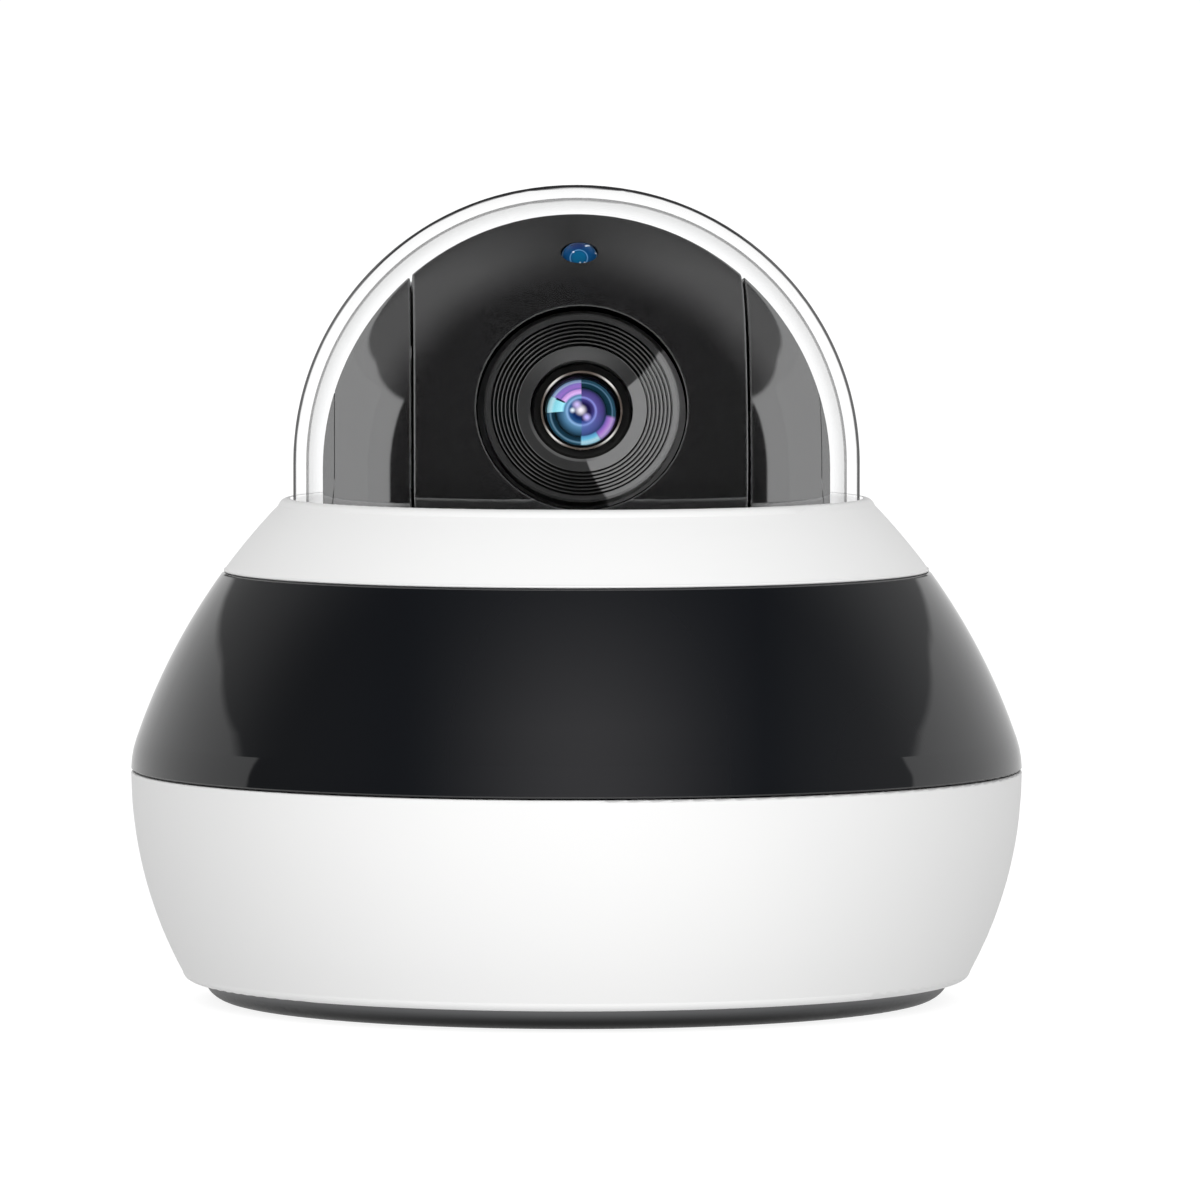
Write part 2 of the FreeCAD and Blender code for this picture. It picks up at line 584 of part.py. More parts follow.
# ---------------------------------------------------------------- pan body
ARM_X0 = 21.2
ARM_X1 = 22.7
PIN_R = 2.5
CHEEK_X = HEAD_HALF_WIDTH + HEAD_SIDE_GAP
CHEEK_WALL = 1.5
CAP_GROOVE_R = 9.25      # ring groove about the tilt axis in each cheek cover
MOTOR_LUG_T = 0.8
TILT_MOTOR_Z = HEAD_Z - TILT_CENTRES


def turntable():
    disc = cylinder(TURNTABLE_R, TURNTABLE_Z, TURNTABLE_TOP)
    hub = cylinder(13.4, DECK_TOP + 0.6, TURNTABLE_Z + 0.1)
    stop = block(-STOP_HALF_W, STOP_HALF_W, -STOP_OUT, -STOP_IN, DECK_TOP + 0.6, TURNTABLE_Z + 0.1)
    table = fused([disc, hub, stop])
    tools = [cylinder(PAN_BUSH_R, DECK_TOP - CLEAR, TURNTABLE_TOP + CLEAR)]
    for x in (-25.0, 25.0):
        tools += [cylinder(0.85, TURNTABLE_Z - CLEAR, TURNTABLE_TOP + CLEAR, x, y) for y in (-7.5, 7.5)]
    keep("turntable", cut_all(table, tools))
    keep("pan_bush", tube(PAN_BUSH_R - 0.02, PAN_HUB_R + 0.05, DECK_TOP + 0.4, TURNTABLE_TOP - 0.05))


def yoke_arm(side):
    """A yoke arm on the side +1 or -1 of the head."""
    foot_z = TURNTABLE_TOP
    profile = Part.makePolygon([
        Vector(ARM_X0, -11.3, foot_z), Vector(ARM_X0, 11.3, foot_z), Vector(ARM_X0, 11.3, 55.5),
        Vector(ARM_X0, 7.0, HEAD_Z), Vector(ARM_X0, -7.0, HEAD_Z), Vector(ARM_X0, -11.3, 55.5),
        Vector(ARM_X0, -11.3, foot_z)])
    plate = Part.Face(profile).extrude(Vector(ARM_X1 - ARM_X0, 0, 0))
    crown = rod_x(7.0, ARM_X0, ARM_X1, 0, HEAD_Z)
    foot = block(ARM_X0, 27.2, -10.2, 10.2, foot_z, foot_z + 1.6)
    arm = fused([plate, crown, foot])
    tools = [rod_x(PIN_R, 0, 40, 0, HEAD_Z)]
    tools += [cylinder(1.0, foot_z - CLEAR, foot_z + 3, 25, y) for y in (-7.5, 7.5)]
    if side > 0:
        tools.append(rod_x(3.4, 0, 40, 0, TILT_MOTOR_Z))
        tools += [rod_x(0.7, 0, 40, y, TILT_MOTOR_Z) for y in (-9.4, 9.4)]
    else:
        tools.append(block(0, 40, -4.6, 4.6, foot_z - CLEAR, foot_z + 2.6))
        tools.append(rod_x(5.0, 0, 40, 0, 48.0))
    arm = cut_all(arm, tools)
    return arm if side > 0 else arm.mirror(ORIGIN, X_AXIS)


def cheek_cover(side):
    """The black cover over a yoke arm: a slice of the head's own sphere on a straight skirt."""
    def bell(r):
        skirt = cylinder(r, TURNTABLE_TOP + 0.05, HEAD_Z)
        return Part.makeSphere(r, Vector(0, 0, HEAD_Z)).common(
            block(-50, 50, -50, 50, HEAD_Z, HEAD_Z + 50)).fuse(skirt).removeSplitter()

    slab = block(CHEEK_X, 40, -50, 50, 0, 120)
    outer = bell(HEAD_R).common(slab)
    rim = [e for e in outer.Edges if e.BoundBox.XMax < CHEEK_X + 0.01 and e.BoundBox.ZMax > HEAD_Z]
    outer = outer.makeChamfer(0.25, rim)
    inner = bell(HEAD_R - CHEEK_WALL)
    inner.translate(Vector(0, 0, -0.2))
    ring = rod_x(CAP_GROOVE_R + 0.3, CHEEK_X, 40, 0, HEAD_Z).cut(rod_x(CAP_GROOVE_R, 0, 50, 0, HEAD_Z))
    groove = ring.cut(bell(HEAD_R - 0.25))
    cover = cut_all(outer, [inner, groove])
    return cover if side > 0 else cover.mirror(ORIGIN, X_AXIS)


def yoke():
    for name, side in (("left", -1), ("right", 1)):
        keep("yoke_arm_" + name, yoke_arm(side))
        keep("cheek_cover_" + name, cheek_cover(side))
    fastener = screw(2.2, 1.4, 0.8, 0.65)
    fasteners = []
    for x in (-25.0, 25.0):
        fasteners += [moved(fastener, x, y, TURNTABLE_TOP + 1.6) for y in (-7.5, 7.5)]
    fastener = turned_about(fastener, 90, Y_AXIS)
    fasteners += [moved(fastener, ARM_X1 + MOTOR_LUG_T, y, TILT_MOTOR_Z) for y in (-9.4, 9.4)]
    keep("yoke_screws", *fasteners)
    pin = rod_x(PIN_R - 0.02, 15.2, ARM_X1 + 0.1, 0, HEAD_Z).fuse(rod_x(4.2, ARM_X1, ARM_X1 + 1.2, 0, HEAD_Z))
    pin = pin.cut(rod_x(1.5, 0, 40, 0, HEAD_Z))
    keep("tilt_pins", pin, pin.mirror(ORIGIN, X_AXIS))


def tilt_motor():
    lug_x = ARM_X1 + MOTOR_LUG_T
    can = rod_x(7.5, ARM_X1, 28.3, 0, TILT_MOTOR_Z)
    lugs = block(ARM_X1, lug_x, -11.2, 11.2, TILT_MOTOR_Z - 2.2, TILT_MOTOR_Z + 2.2)
    boss = rod_x(3.2, 21.4, ARM_X1 + 0.1, 0, TILT_MOTOR_Z)
    tools = [rod_x(0.85, 0, 27.0, 0, TILT_MOTOR_Z)]
    tools += [rod_x(0.8, 0, 40, y, TILT_MOTOR_Z) for y in (-9.4, 9.4)]
    keep("tilt_motor", cut_all(fused([can, lugs, boss]), tools))
    keep("tilt_motor_shaft", rod_x(0.75, 17.8, 26.6, 0, TILT_MOTOR_Z))


RIBBON_T = 0.25
RIBBON_HALF_W = 4.0


def head_cable():
    """The flat cable from the hollow pan hub, over the turntable and up the left arm."""
    low = RETAINER_Z + 0.6 + 0.2
    up_x = -(ARM_X1 + 0.3)
    rise = block(-RIBBON_T, 0, -RIBBON_HALF_W, RIBBON_HALF_W, DECK_TOP, low + RIBBON_T)
    across = block(up_x - RIBBON_T, 0, -RIBBON_HALF_W, RIBBON_HALF_W, low, low + RIBBON_T)
    climb = block(up_x - RIBBON_T, up_x, -RIBBON_HALF_W, RIBBON_HALF_W, low, HEAD_Z - 5.0)
    keep("head_cable", fused([rise, across, climb]))


# ---------------------------------------------------------------- tilt body, lens along -Y
def posed_head(shape):
    """Moves a piece of the head from its own frame to its place at rest."""
    copy = turned_about(shape, -REST_ELEVATION, X_AXIS)
    copy.translate(Vector(0, 0, HEAD_Z))
    return copy


def forward(shape):
    """Turns a shape made along +Z so that it points along the lens, -Y."""
    return turned_about(shape, 90, X_AXIS)


SIDE_WALL_OUT = 17.5
SIDE_WALL_IN = 15.9
POCKET_R = 22.2
BUSH_R = 4.0
SCREW_SPOTS = [(x, z) for x in (-12.5, 12.5) for z in (-20.0, 20.0)]
BOARD_FRONT = 5.7        # sensor board's front face, from the head's centre
BOARD_SPOTS = [(-12, -12), (12, 12)]
SENSOR_AT = 42.9         # direction of the light sensor above the lens, degrees
SENSOR_LOOK = 24.0       # direction in which the light sensor looks, degrees above the lens
SENSOR_R = 2.2


def sensor_axis():
    """A point on the light sensor's front and its direction, in the head's frame."""
    at, look = math.radians(SENSOR_AT), math.radians(SENSOR_LOOK)
    point = Vector(0, -math.cos(at), math.sin(at)).multiply(HEAD_R - 0.9)
    return point, Vector(0, -math.cos(look), math.sin(look))


def along(r, point, direction, back, ahead):
    """A cylinder along a direction, from behind a point to ahead of it."""
    start = point - Vector(direction).multiply(back)
    return Part.makeCylinder(r, back + ahead, start, direction)


def head_shells():
    ball = Part.makeSphere(HEAD_R).common(block(-HEAD_HALF_WIDTH, HEAD_HALF_WIDTH, -40, 40, -40, 40))
    rims = [e for e in ball.Edges if abs(abs(e.BoundBox.XMax) - HEAD_HALF_WIDTH) < 0.01
            and abs(e.BoundBox.XMax - e.BoundBox.XMin) < 0.01]
    ball = ball.makeFillet(0.3, rims)
    hollow = Part.makeSphere(HEAD_R - HEAD_WALL).common(block(-SIDE_WALL_IN, SIDE_WALL_IN, -40, 40, -40, 40))
    pockets = [rod_x(POCKET_R, SIDE_WALL_OUT, 40), rod_x(POCKET_R, -40, -SIDE_WALL_OUT)]
    shell = cut_all(ball, [hollow] + pockets)
    bosses = [rod_y(2.4, -24, 24, x, z).common(Part.makeSphere(HEAD_R - 0.8)) for x, z in SCREW_SPOTS]
    bosses += [rod_y(2.2, -40, -BOARD_FRONT - 0.05, x, z).common(Part.makeSphere(HEAD_R - 0.8))
               for x, z in BOARD_SPOTS]
    point, direction = sensor_axis()
    sleeve = along(SENSOR_R + 1.0, point, direction, 5.0, 1.5).common(Part.makeSphere(HEAD_R - 0.6))
    shell = fused([shell] + bosses + [sleeve])
    tools = [rod_x(BUSH_R, -40, 40)]
    tools += [rod_y(0.8, -14, 14, x, z) for x, z in SCREW_SPOTS]
    tools += [rod_y(1.9, 14, 40, x, z) for x, z in SCREW_SPOTS]
    shell = cut_all(shell, tools)

    front = shell.common(block(-40, 40, -40, -0.02, -40, 40))
    opening = rod_y(LENS_OPENING_R, -40, -10)
    lip_y = -math.sqrt(HEAD_R ** 2 - LENS_OPENING_R ** 2)
    chamfer = Part.makeCone(LENS_OPENING_R - 0.4, LENS_OPENING_R + 0.6, 1.0, Vector(0, lip_y + 0.75, 0),
                            Vector(0, -1, 0))
    seat = along(SENSOR_R + 0.1, point, direction, 9.0, 8.0)
    keep("head_front_shell", posed_head(cut_all(front, [opening, chamfer, seat])))
    rear = shell.common(block(-40, 40, 0.02, 40, -40, 40))
    keep("head_rear_shell", posed_head(rear))
    fastener = turned_about(screw(12.0, 1.6, 1.1, 0.75), -90, X_AXIS)
    keep("head_screws", *[posed_head(moved(fastener, x, 14, z)) for x, z in SCREW_SPOTS])

    bush = rod_x(BUSH_R - 0.02, SIDE_WALL_IN - 0.4, SIDE_WALL_OUT + 0.9).cut(rod_x(PIN_R + 0.04, 0, 40))
    keep("tilt_bushes", *[posed_head(b) for b in (bush, bush.mirror(ORIGIN, X_AXIS))])


def tilt_gears():
    x0, x1 = SIDE_WALL_OUT + 0.02, SIDE_WALL_OUT + 2.3
    wheel = gear(TILT_TEETH, TILT_MODULE, BUSH_R + 0.5, x0, x1, 0)
    # turned to lie along X, with the tooth that began on +X pointing down
    wheel = turned_about(wheel, 90, Y_AXIS)
    keep("tilt_gear", moved(wheel, 0, 0, HEAD_Z))
    pinion = gear(TILT_PINION_TEETH, TILT_MODULE, 0.75, x0 + 0.2, x1 + 0.3, 180 + 180 / TILT_PINION_TEETH)
    keep("tilt_pinion", moved(turned_about(pinion, 90, Y_AXIS), 0, 0, TILT_MOTOR_Z))


GROOVES = 7
GROOVE_IN = 7.85
GROOVE_PITCH = 0.477
GROOVE_DEPTH = 0.28
RIM_IN = 11.05           # inner edge of the flat rim outside the grooves
CONE_EDGE = 6.2
CONE_FACE = 27.75        # distance of the cone's inner edge from the head's centre


def bezel_height(r):
    """Height of the bezel's sloping face at a radius."""
    return CONE_FACE + (BEZEL_FACE - 0.15 - CONE_FACE) * (r - CONE_EDGE) / (RIM_IN - CONE_EDGE)


def lens_bezel():
    steps = [(CONE_EDGE, CONE_FACE)]
    for n in range(GROOVES):
        r = GROOVE_IN + n * GROOVE_PITCH
        bottom = bezel_height(r) - GROOVE_DEPTH
        steps += [(r, bezel_height(r)), (r + 0.14, bottom), (r + 0.24, bottom), (r + 0.3, bezel_height(r + 0.3))]
    steps += [(RIM_IN, BEZEL_FACE - 0.15), (BEZEL_R - 0.25, BEZEL_FACE), (BEZEL_R, BEZEL_FACE - 0.2)]
    flange_r = 13.5
    steps += [(BEZEL_R, 26.3), (flange_r, 26.3), (flange_r, 25.3), (BEZEL_R - 1.4, 25.3),
              (BEZEL_R - 1.4, 26.2), (8.0, 26.2), (8.0, 25.2), (CONE_EDGE, 25.2)]
    keep("lens_bezel", posed_head(forward(turned(*steps))))


BARREL_R = 6.05
GLASS_R = 4.2
TRIM_OUT = 4.95
TRIM_IN = 4.7
BARREL_FACE = 27.2


def dished(r, z, sag):
    """An arc step from the axis at height z out to radius r, falling by sag, struck from the axis."""
    radius = (r ** 2 + sag ** 2) / (2 * abs(sag))
    drop = math.copysign(radius - math.sqrt(radius ** 2 - (r / 2) ** 2), sag)
    return (r / 2, z - drop), (r, z - sag)


def glass(r, front_z, front_sag, edge, back_sag):
    """A lens element about Z. Positive sags bulge outwards."""
    back_z = front_z - front_sag - edge
    back_mid, back_rim = dished(r, back_z - back_sag, -back_sag)
    apex = (0, back_z - back_sag)
    return turned((0, front_z), dished(r, front_z, front_sag), back_rim, (back_mid, apex))


def lens():
    barrel = turned(
        (TRIM_OUT + 0.02, BARREL_FACE), (BARREL_R - 0.3, BARREL_FACE), (BARREL_R, BARREL_FACE - 0.3),
        (BARREL_R, 24.0), (5.9, 23.7), (5.9, 11.9), (3.6, 11.9), (3.6, 20.6), (GLASS_R + 0.02, 20.6),
        (GLASS_R + 0.02, BARREL_FACE - 0.4), (GLASS_R + 0.2, BARREL_FACE - 0.1),
        (TRIM_IN - 0.02, BARREL_FACE - 0.1), (TRIM_IN - 0.02, 26.2), (TRIM_OUT + 0.02, 26.2))
    keep("lens_barrel", posed_head(forward(barrel)))
    trim = turned((TRIM_IN, 26.25), (TRIM_OUT, 26.25), (TRIM_OUT, BARREL_FACE + 0.15),
                  ((TRIM_OUT - 0.12, BARREL_FACE + 0.25), (TRIM_IN, BARREL_FACE + 0.15)))
    keep("lens_trim_ring", posed_head(forward(trim)))
    keep("front_lens", posed_head(forward(glass(GLASS_R - 0.02, 27.0, 0.9, 1.0, -0.7))))
    second = glass(GLASS_R - 0.05, 23.9, 0.7, 0.5, 0.4)
    third = glass(3.5, 19.6, 0.5, 0.8, 0.5)
    fourth = glass(3.5, 16.4, -0.3, 1.2, 0.6)
    keep("inner_lenses", *[posed_head(forward(g)) for g in (second, third, fourth)])


HOLDER_HALF_X = 10.9
HOLDER_HALF_Z = 7.6
SLIDE_TRAVEL = 6.2


def camera_module():
    board = block(-14, 14, -BOARD_FRONT, -BOARD_FRONT + 1.2, -14, 14)
    board = cut_all(board, [rod_y(1.1, -8, -2, x, z) for x, z in BOARD_SPOTS])
    keep("sensor_board", posed_head(board))
    chip = block(-4, 4, -BOARD_FRONT - 0.9, -BOARD_FRONT, -3.5, 3.5)
    keep("image_sensor", posed_head(chip))
    case = block(-HOLDER_HALF_X, HOLDER_HALF_X, -11.5, -BOARD_FRONT, -HOLDER_HALF_Z, HOLDER_HALF_Z)
    room = block(1.2 - HOLDER_HALF_X, HOLDER_HALF_X - 1.2, -10.4, 0, 1.4 - HOLDER_HALF_Z, HOLDER_HALF_Z - 1.4)
    neck = rod_y(8.2, -17.5, -11.0)
    holder = cut_all(case.fuse(neck), [room, rod_y(5.95, -20, -8)])
    keep("lens_holder", posed_head(holder))

    # the frame that swaps the two filters: two windows side by side in a sliding plate
    half = SLIDE_TRAVEL / 2
    frame = block(-half, 3 * half, -9.0, -8.2, -3.9, 3.9)
    windows = [block(x - 2.6, x + 2.6, -9.6, -7.6, -2.6, 2.6) for x in (0, SLIDE_TRAVEL)]
    panes = [block(x - 2.58, x + 2.58, -8.9, -8.4, -2.58, 2.58) for x in (0, SLIDE_TRAVEL)]
    keep("filter_slider", *[posed_head(piece) for piece in [cut_all(frame, windows)] + panes])


def light_sensor():
    point, direction = sensor_axis()
    stem = along(SENSOR_R, point, direction, 4.0, 0)
    cap = Part.makeSphere(3.2, point - Vector(direction).multiply(2.2))
    cap = cap.common(along(SENSOR_R, point, direction, 2.0, 3.0))
    keep("light_sensor_lens", posed_head(stem.fuse(cap).removeSplitter()))


def main():
    lower_shell()
    ir_window_band()
    upper_collar()
    dome()
    bottom_cover()
    chassis()
    pan_motor()
    base_screws()
    pan_gears()
    main_board()
    rear_parts()
    speaker()
    infrared_lamps()
    turntable()
    yoke()
    tilt_motor()
    head_cable()
    head_shells()
    tilt_gears()
    lens_bezel()
    lens()
    camera_module()
    light_sensor()
    os.makedirs("parts", exist_ok=True)
    for name, shape in made.items():
        if not shape.isValid():
            raise ValueError(name + " is not a valid shape")
        shape.exportStep("parts/" + name + ".step")
        print(name, len(shape.Solids), round(shape.Volume, 1))


main()
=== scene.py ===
"""Looks of an indoor pan and tilt security camera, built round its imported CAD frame.

Everything is in metres in the frame's own axes: +Z up, -Y the front. The CAD nodes stay where they
are and get their materials here. Two felt arcs in the head's seams are made here and ride on the
pan unit. The last part is the studio: camera, floor and light.
"""

import bpy
import bmesh
import json
import math
from mathutils import Matrix, Vector

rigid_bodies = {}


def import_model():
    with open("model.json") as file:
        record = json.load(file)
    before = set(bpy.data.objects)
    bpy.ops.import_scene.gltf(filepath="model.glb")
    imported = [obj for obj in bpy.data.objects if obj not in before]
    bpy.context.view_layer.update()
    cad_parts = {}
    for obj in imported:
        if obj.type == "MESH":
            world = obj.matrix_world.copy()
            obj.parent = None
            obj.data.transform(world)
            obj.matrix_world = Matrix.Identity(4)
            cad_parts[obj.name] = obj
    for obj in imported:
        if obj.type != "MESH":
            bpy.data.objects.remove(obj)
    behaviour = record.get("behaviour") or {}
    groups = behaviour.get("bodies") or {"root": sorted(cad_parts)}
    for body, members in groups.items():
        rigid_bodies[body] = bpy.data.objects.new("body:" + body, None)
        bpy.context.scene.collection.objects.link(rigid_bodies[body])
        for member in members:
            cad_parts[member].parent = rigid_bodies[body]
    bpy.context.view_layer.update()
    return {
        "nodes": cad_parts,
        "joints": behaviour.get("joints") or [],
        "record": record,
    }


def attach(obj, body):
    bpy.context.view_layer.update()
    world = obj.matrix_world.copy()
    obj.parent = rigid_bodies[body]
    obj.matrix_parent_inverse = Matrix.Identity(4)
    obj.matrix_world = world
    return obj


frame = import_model()
NODES = frame["nodes"]

# ---------------------------------------------------------------- sizes, from the frame
MM = 0.001
JOINTS = {joint["name"]: joint for joint in frame["joints"]}
HEAD_CENTRE = Vector(JOINTS["tilt"]["pos_m"])
REST_ELEVATION = math.radians(17.0)
DOME_MIDDLE = Vector((0, 0, 66.25 * MM))

# millimetres, as the masks in the materials use them
DOME_WALL_MIDDLE = 33.8  # from DOME_MIDDLE to halfway between the dome's inner and outer face
BORE_R = 35.15           # the collar's bore round the dome
SEAM_X = 20.4            # middle of the gap between the head and each cheek cover
FELT_IN = 16.5           # the felt arcs in those gaps
FELT_OUT = 23.0
FELT_HALF = 0.05         # half the felt's thickness
FELT_ENDS = (10, 170)    # degrees over the head where a felt starts and stops, and between its corners
FELT_STEP = 4
OPENING_R = 12.75        # the head's opening round the bezel
GROOVE_IN = 7.85         # the bezel's grooves: innermost edge, spacing and outermost edge
GROOVE_PITCH = 0.477
GROOVE_END = 11.01
GLASS_R = 4.18           # the front element
SENSOR_R = 30.4          # the light sensor's window, from the head's centre

# lens axis at rest: the head's own -Y, turned up
LENS_FRAME = Matrix.Translation(HEAD_CENTRE) @ Matrix.Rotation(math.radians(90) - REST_ELEVATION, 4, "X")

# the light sensor looks out above the lens: its window's middle, and the direction it looks in
SENSOR_AT = REST_ELEVATION + math.radians(42.9)
SENSOR_LOOK = REST_ELEVATION + math.radians(24.0)
SENSOR_MIDDLE = HEAD_CENTRE + Vector((0, -math.cos(SENSOR_AT), math.sin(SENSOR_AT))) * SENSOR_R * MM
SENSOR_FRAME = Matrix.Translation(SENSOR_MIDDLE) @ Matrix.Rotation(math.radians(90) - SENSOR_LOOK, 4, "X")


# ---------------------------------------------------------------- shader helpers
class Nodes:
    """A short way to build the node tree of a material or a world."""

    def __init__(self, owner, output="ShaderNodeOutputMaterial"):
        self.owner = owner
        owner.use_nodes = True
        self.tree = owner.node_tree
        self.tree.nodes.clear()
        self.output = self.add(output)

    def add(self, kind, inputs=None, **settings):
        """A node with its settings and its inputs, which are values or other nodes' outputs."""
        node = self.tree.nodes.new(kind)
        for name, value in settings.items():
            setattr(node, name, value)
        for name, value in (inputs or {}).items():
            if isinstance(value, bpy.types.NodeSocket):
                self.tree.links.new(value, node.inputs[name])
            else:
                node.inputs[name].default_value = value
        return node

    def math(self, operation, a, b=0.0):
        node = self.add("ShaderNodeMath", {0: a, 1: b}, operation=operation)
        return node.outputs[0]

    def place(self, frame_matrix=None):
        """The object-space position, or the position in a frame of its own, in metres."""
        position = self.add("ShaderNodeTexCoord").outputs["Object"]
        if frame_matrix is None:
            return position
        inverse = frame_matrix.inverted()
        location, rotation, _ = inverse.decompose()
        mapping = self.add("ShaderNodeMapping", {"Vector": position}, vector_type="POINT")
        mapping.inputs["Location"].default_value = location
        mapping.inputs["Rotation"].default_value = rotation.to_euler()
        return mapping.outputs[0]

    def polar(self, frame_matrix=None):
        """Millimetres from a frame's Z axis, the angle round it in degrees, and millimetres along it."""
        part = self.add("ShaderNodeSeparateXYZ", {"Vector": self.place(frame_matrix)})
        x, y, z = part.outputs
        square = self.math("ADD", self.math("MULTIPLY", x, x), self.math("MULTIPLY", y, y))
        angle = self.math("MULTIPLY", self.math("ARCTAN2", y, x), 180 / math.pi)
        return self.math("MULTIPLY", self.math("SQRT", square), 1000), angle, self.math("MULTIPLY", z, 1000)

    def ramp(self, value, stops):
        """A colour ramp from (position, colour) pairs."""
        node = self.add("ShaderNodeValToRGB", {0: value})
        points = node.color_ramp.elements
        while len(points) < len(stops):
            points.new(1.0)
        for point, (position, colour) in zip(points, stops):
            point.position = position
            point.color = (*colour[:3], 1.0)
        return node.outputs[0]

    def noise(self, vector, scale, detail=3.0, roughness=0.55):
        node = self.add("ShaderNodeTexNoise", {"Vector": vector, "Scale": scale, "Detail": detail,
                                               "Roughness": roughness})
        return node.outputs["Fac"]

    def between(self, value, low, high, out_low=0.0, out_high=1.0, smooth=False):
        """A value mapped from one range to another and clamped."""
        node = self.add("ShaderNodeMapRange", {"Value": value, "From Min": low, "From Max": high,
                                               "To Min": out_low, "To Max": out_high},
                        interpolation_type="SMOOTHSTEP" if smooth else "LINEAR")
        return node.outputs[0]

    def band(self, value, low, high, soft=0.0):
        """One between two limits and nought outside, with soft edges."""
        soft = max(soft, 1e-4)
        rise = self.between(value, low - soft, low + soft)
        return self.math("MULTIPLY", rise, self.between(value, high + soft, high - soft))

    def all_of(self, *masks):
        """The product of several masks."""
        result = masks[0]
        for mask in masks[1:]:
            result = self.math("MULTIPLY", result, mask)
        return result

    def blend(self, factor, a, b):
        """One colour mixed into another."""
        node = self.add("ShaderNodeMix", data_type="RGBA")
        for index, value in ((0, factor), (6, a), (7, b)):
            if isinstance(value, bpy.types.NodeSocket):
                self.tree.links.new(value, node.inputs[index])
            else:
                node.inputs[index].default_value = value if index == 0 else (*value[:3], 1.0)
        return node.outputs[2]

    def bump(self, height, strength, distance):
        node = self.add("ShaderNodeBump", {"Height": height, "Strength": strength, "Distance": distance})
        return node.outputs[0]

    def finish(self, shader):
        self.tree.links.new(shader, self.output.inputs["Surface"])
        return self.owner


def new_material(name):
    return Nodes(bpy.data.materials.new(name))


def grey(value):
    return (value, value, value, 1.0)


def srgb(*channels):
    """A linear colour from screen values of 0 to 255."""
    shares = [c / 255 for c in channels]
    return tuple(c / 12.92 if c < 0.04045 else ((c + 0.055) / 1.055) ** 2.4 for c in shares)


def moulded(name, colour, roughness, grain=0.25, grain_size=0.35, mottle=0.04, specular=0.5, coat=0.0):
    """A moulded or painted surface: fine grain in the bump, soft mottling in colour and roughness."""
    n = new_material(name)
    where = n.place()
    fine = n.noise(where, 1000 / grain_size, 4.0, 0.6)
    broad = n.noise(where, 60.0, 3.0)
    dark = tuple(c * (1 - mottle) for c in colour[:3])
    light = tuple(min(1.0, c * (1 + mottle)) for c in colour[:3])
    shader = n.add("ShaderNodeBsdfPrincipled", {
        "Base Color": n.blend(broad, dark, light),
        "Roughness": n.between(n.math("ADD", broad, n.math("MULTIPLY", fine, 0.5)), 0.4, 1.1,
                               roughness * 0.92, roughness * 1.08),
        "Specular IOR Level": specular,
        "Coat Weight": coat,
        "Normal": n.bump(fine, grain, 0.00002),
    })
    return n.finish(shader.outputs[0])


def metal(name, colour, roughness, brushed=0.0, axis_scale=(1, 1, 1)):
    """A metal with fine turned or drawn marks."""
    n = new_material(name)
    stretched = n.add("ShaderNodeMapping", {"Vector": n.place(), "Scale": axis_scale})
    marks = n.noise(stretched.outputs[0], 900.0, 5.0, 0.7)
    broad = n.noise(n.place(), 90.0, 2.0)
    shader = n.add("ShaderNodeBsdfPrincipled", {
        "Base Color": n.blend(broad, tuple(c * 0.9 for c in colour[:3]), colour),
        "Metallic": 1.0,
        "Roughness": n.between(marks, 0.3, 0.7, roughness * 0.8, roughness * 1.25),
        "Normal": n.bump(marks, 0.05 + brushed * 0.3, 0.00002),
    })
    return n.finish(shader.outputs[0])


# ---------------------------------------------------------------- materials of the casings
def white_abs():
    """Fine satin white moulding.

    The sides of the collar's bore have a little light of their own, in place of what the dome's edge
    leads in.
    """
    n = new_material("white_abs")
    where = n.place()
    fine = n.noise(where, 2600.0, 4.0, 0.6)
    broad = n.noise(where, 45.0, 3.0)
    radius, _, height = n.polar()
    aside = n.math("ABSOLUTE", n.add("ShaderNodeSeparateXYZ", {0: where}).outputs[0])
    bore = n.all_of(n.between(radius, BORE_R + 0.25, BORE_R + 0.15), n.between(height, 57.0, 58.0),
                    n.between(aside, 0.025, 0.029))
    shader = n.add("ShaderNodeBsdfPrincipled", {
        "Emission Color": grey(1.0),
        "Emission Strength": n.math("MULTIPLY", bore, 0.75),
        "Base Color": n.blend(broad, (0.845, 0.845, 0.845), (0.865, 0.865, 0.86)),
        "Roughness": n.between(fine, 0.3, 0.7, 0.44, 0.54),
        "Specular IOR Level": 0.2,
        "Normal": n.bump(fine, 0.22, 0.00003),
    })
    return n.finish(shader.outputs[0])


def smoked_window():
    """Polished plastic that looks black. Its soft gleams, in front and at the sides, are painted."""
    n = new_material("smoked_window")
    where = n.place()
    flow = n.noise(where, 26.0, 2.0)
    haze = n.noise(where, 700.0, 4.0, 0.6)
    part = n.add("ShaderNodeSeparateXYZ", {0: where})
    x, y, z = part.outputs
    colour = n.blend(flow, (0.0055, 0.0062, 0.0075), (0.0085, 0.0095, 0.0118))
    gleam = n.all_of(n.between(n.math("ABSOLUTE", x), 0.024, 0.0, smooth=True), n.between(z, 0.06, 0.037))
    gleam = n.math("MULTIPLY", gleam, n.between(y, 0.0, -0.01))
    colour = n.blend(gleam, colour, (0.031, 0.031, 0.033))
    colour = n.blend(n.between(x, 0.021, 0.044), colour, (0.025, 0.0255, 0.027))
    colour = n.blend(n.between(x, -0.021, -0.044), colour, (0.011, 0.0115, 0.0125))
    shader = n.add("ShaderNodeBsdfPrincipled", {
        "Base Color": colour,
        "Roughness": n.between(haze, 0.35, 0.65, 0.035, 0.06),
        "IOR": 1.49,
        "Normal": n.bump(flow, 0.03, 0.0002),
    })
    return n.finish(shader.outputs[0])


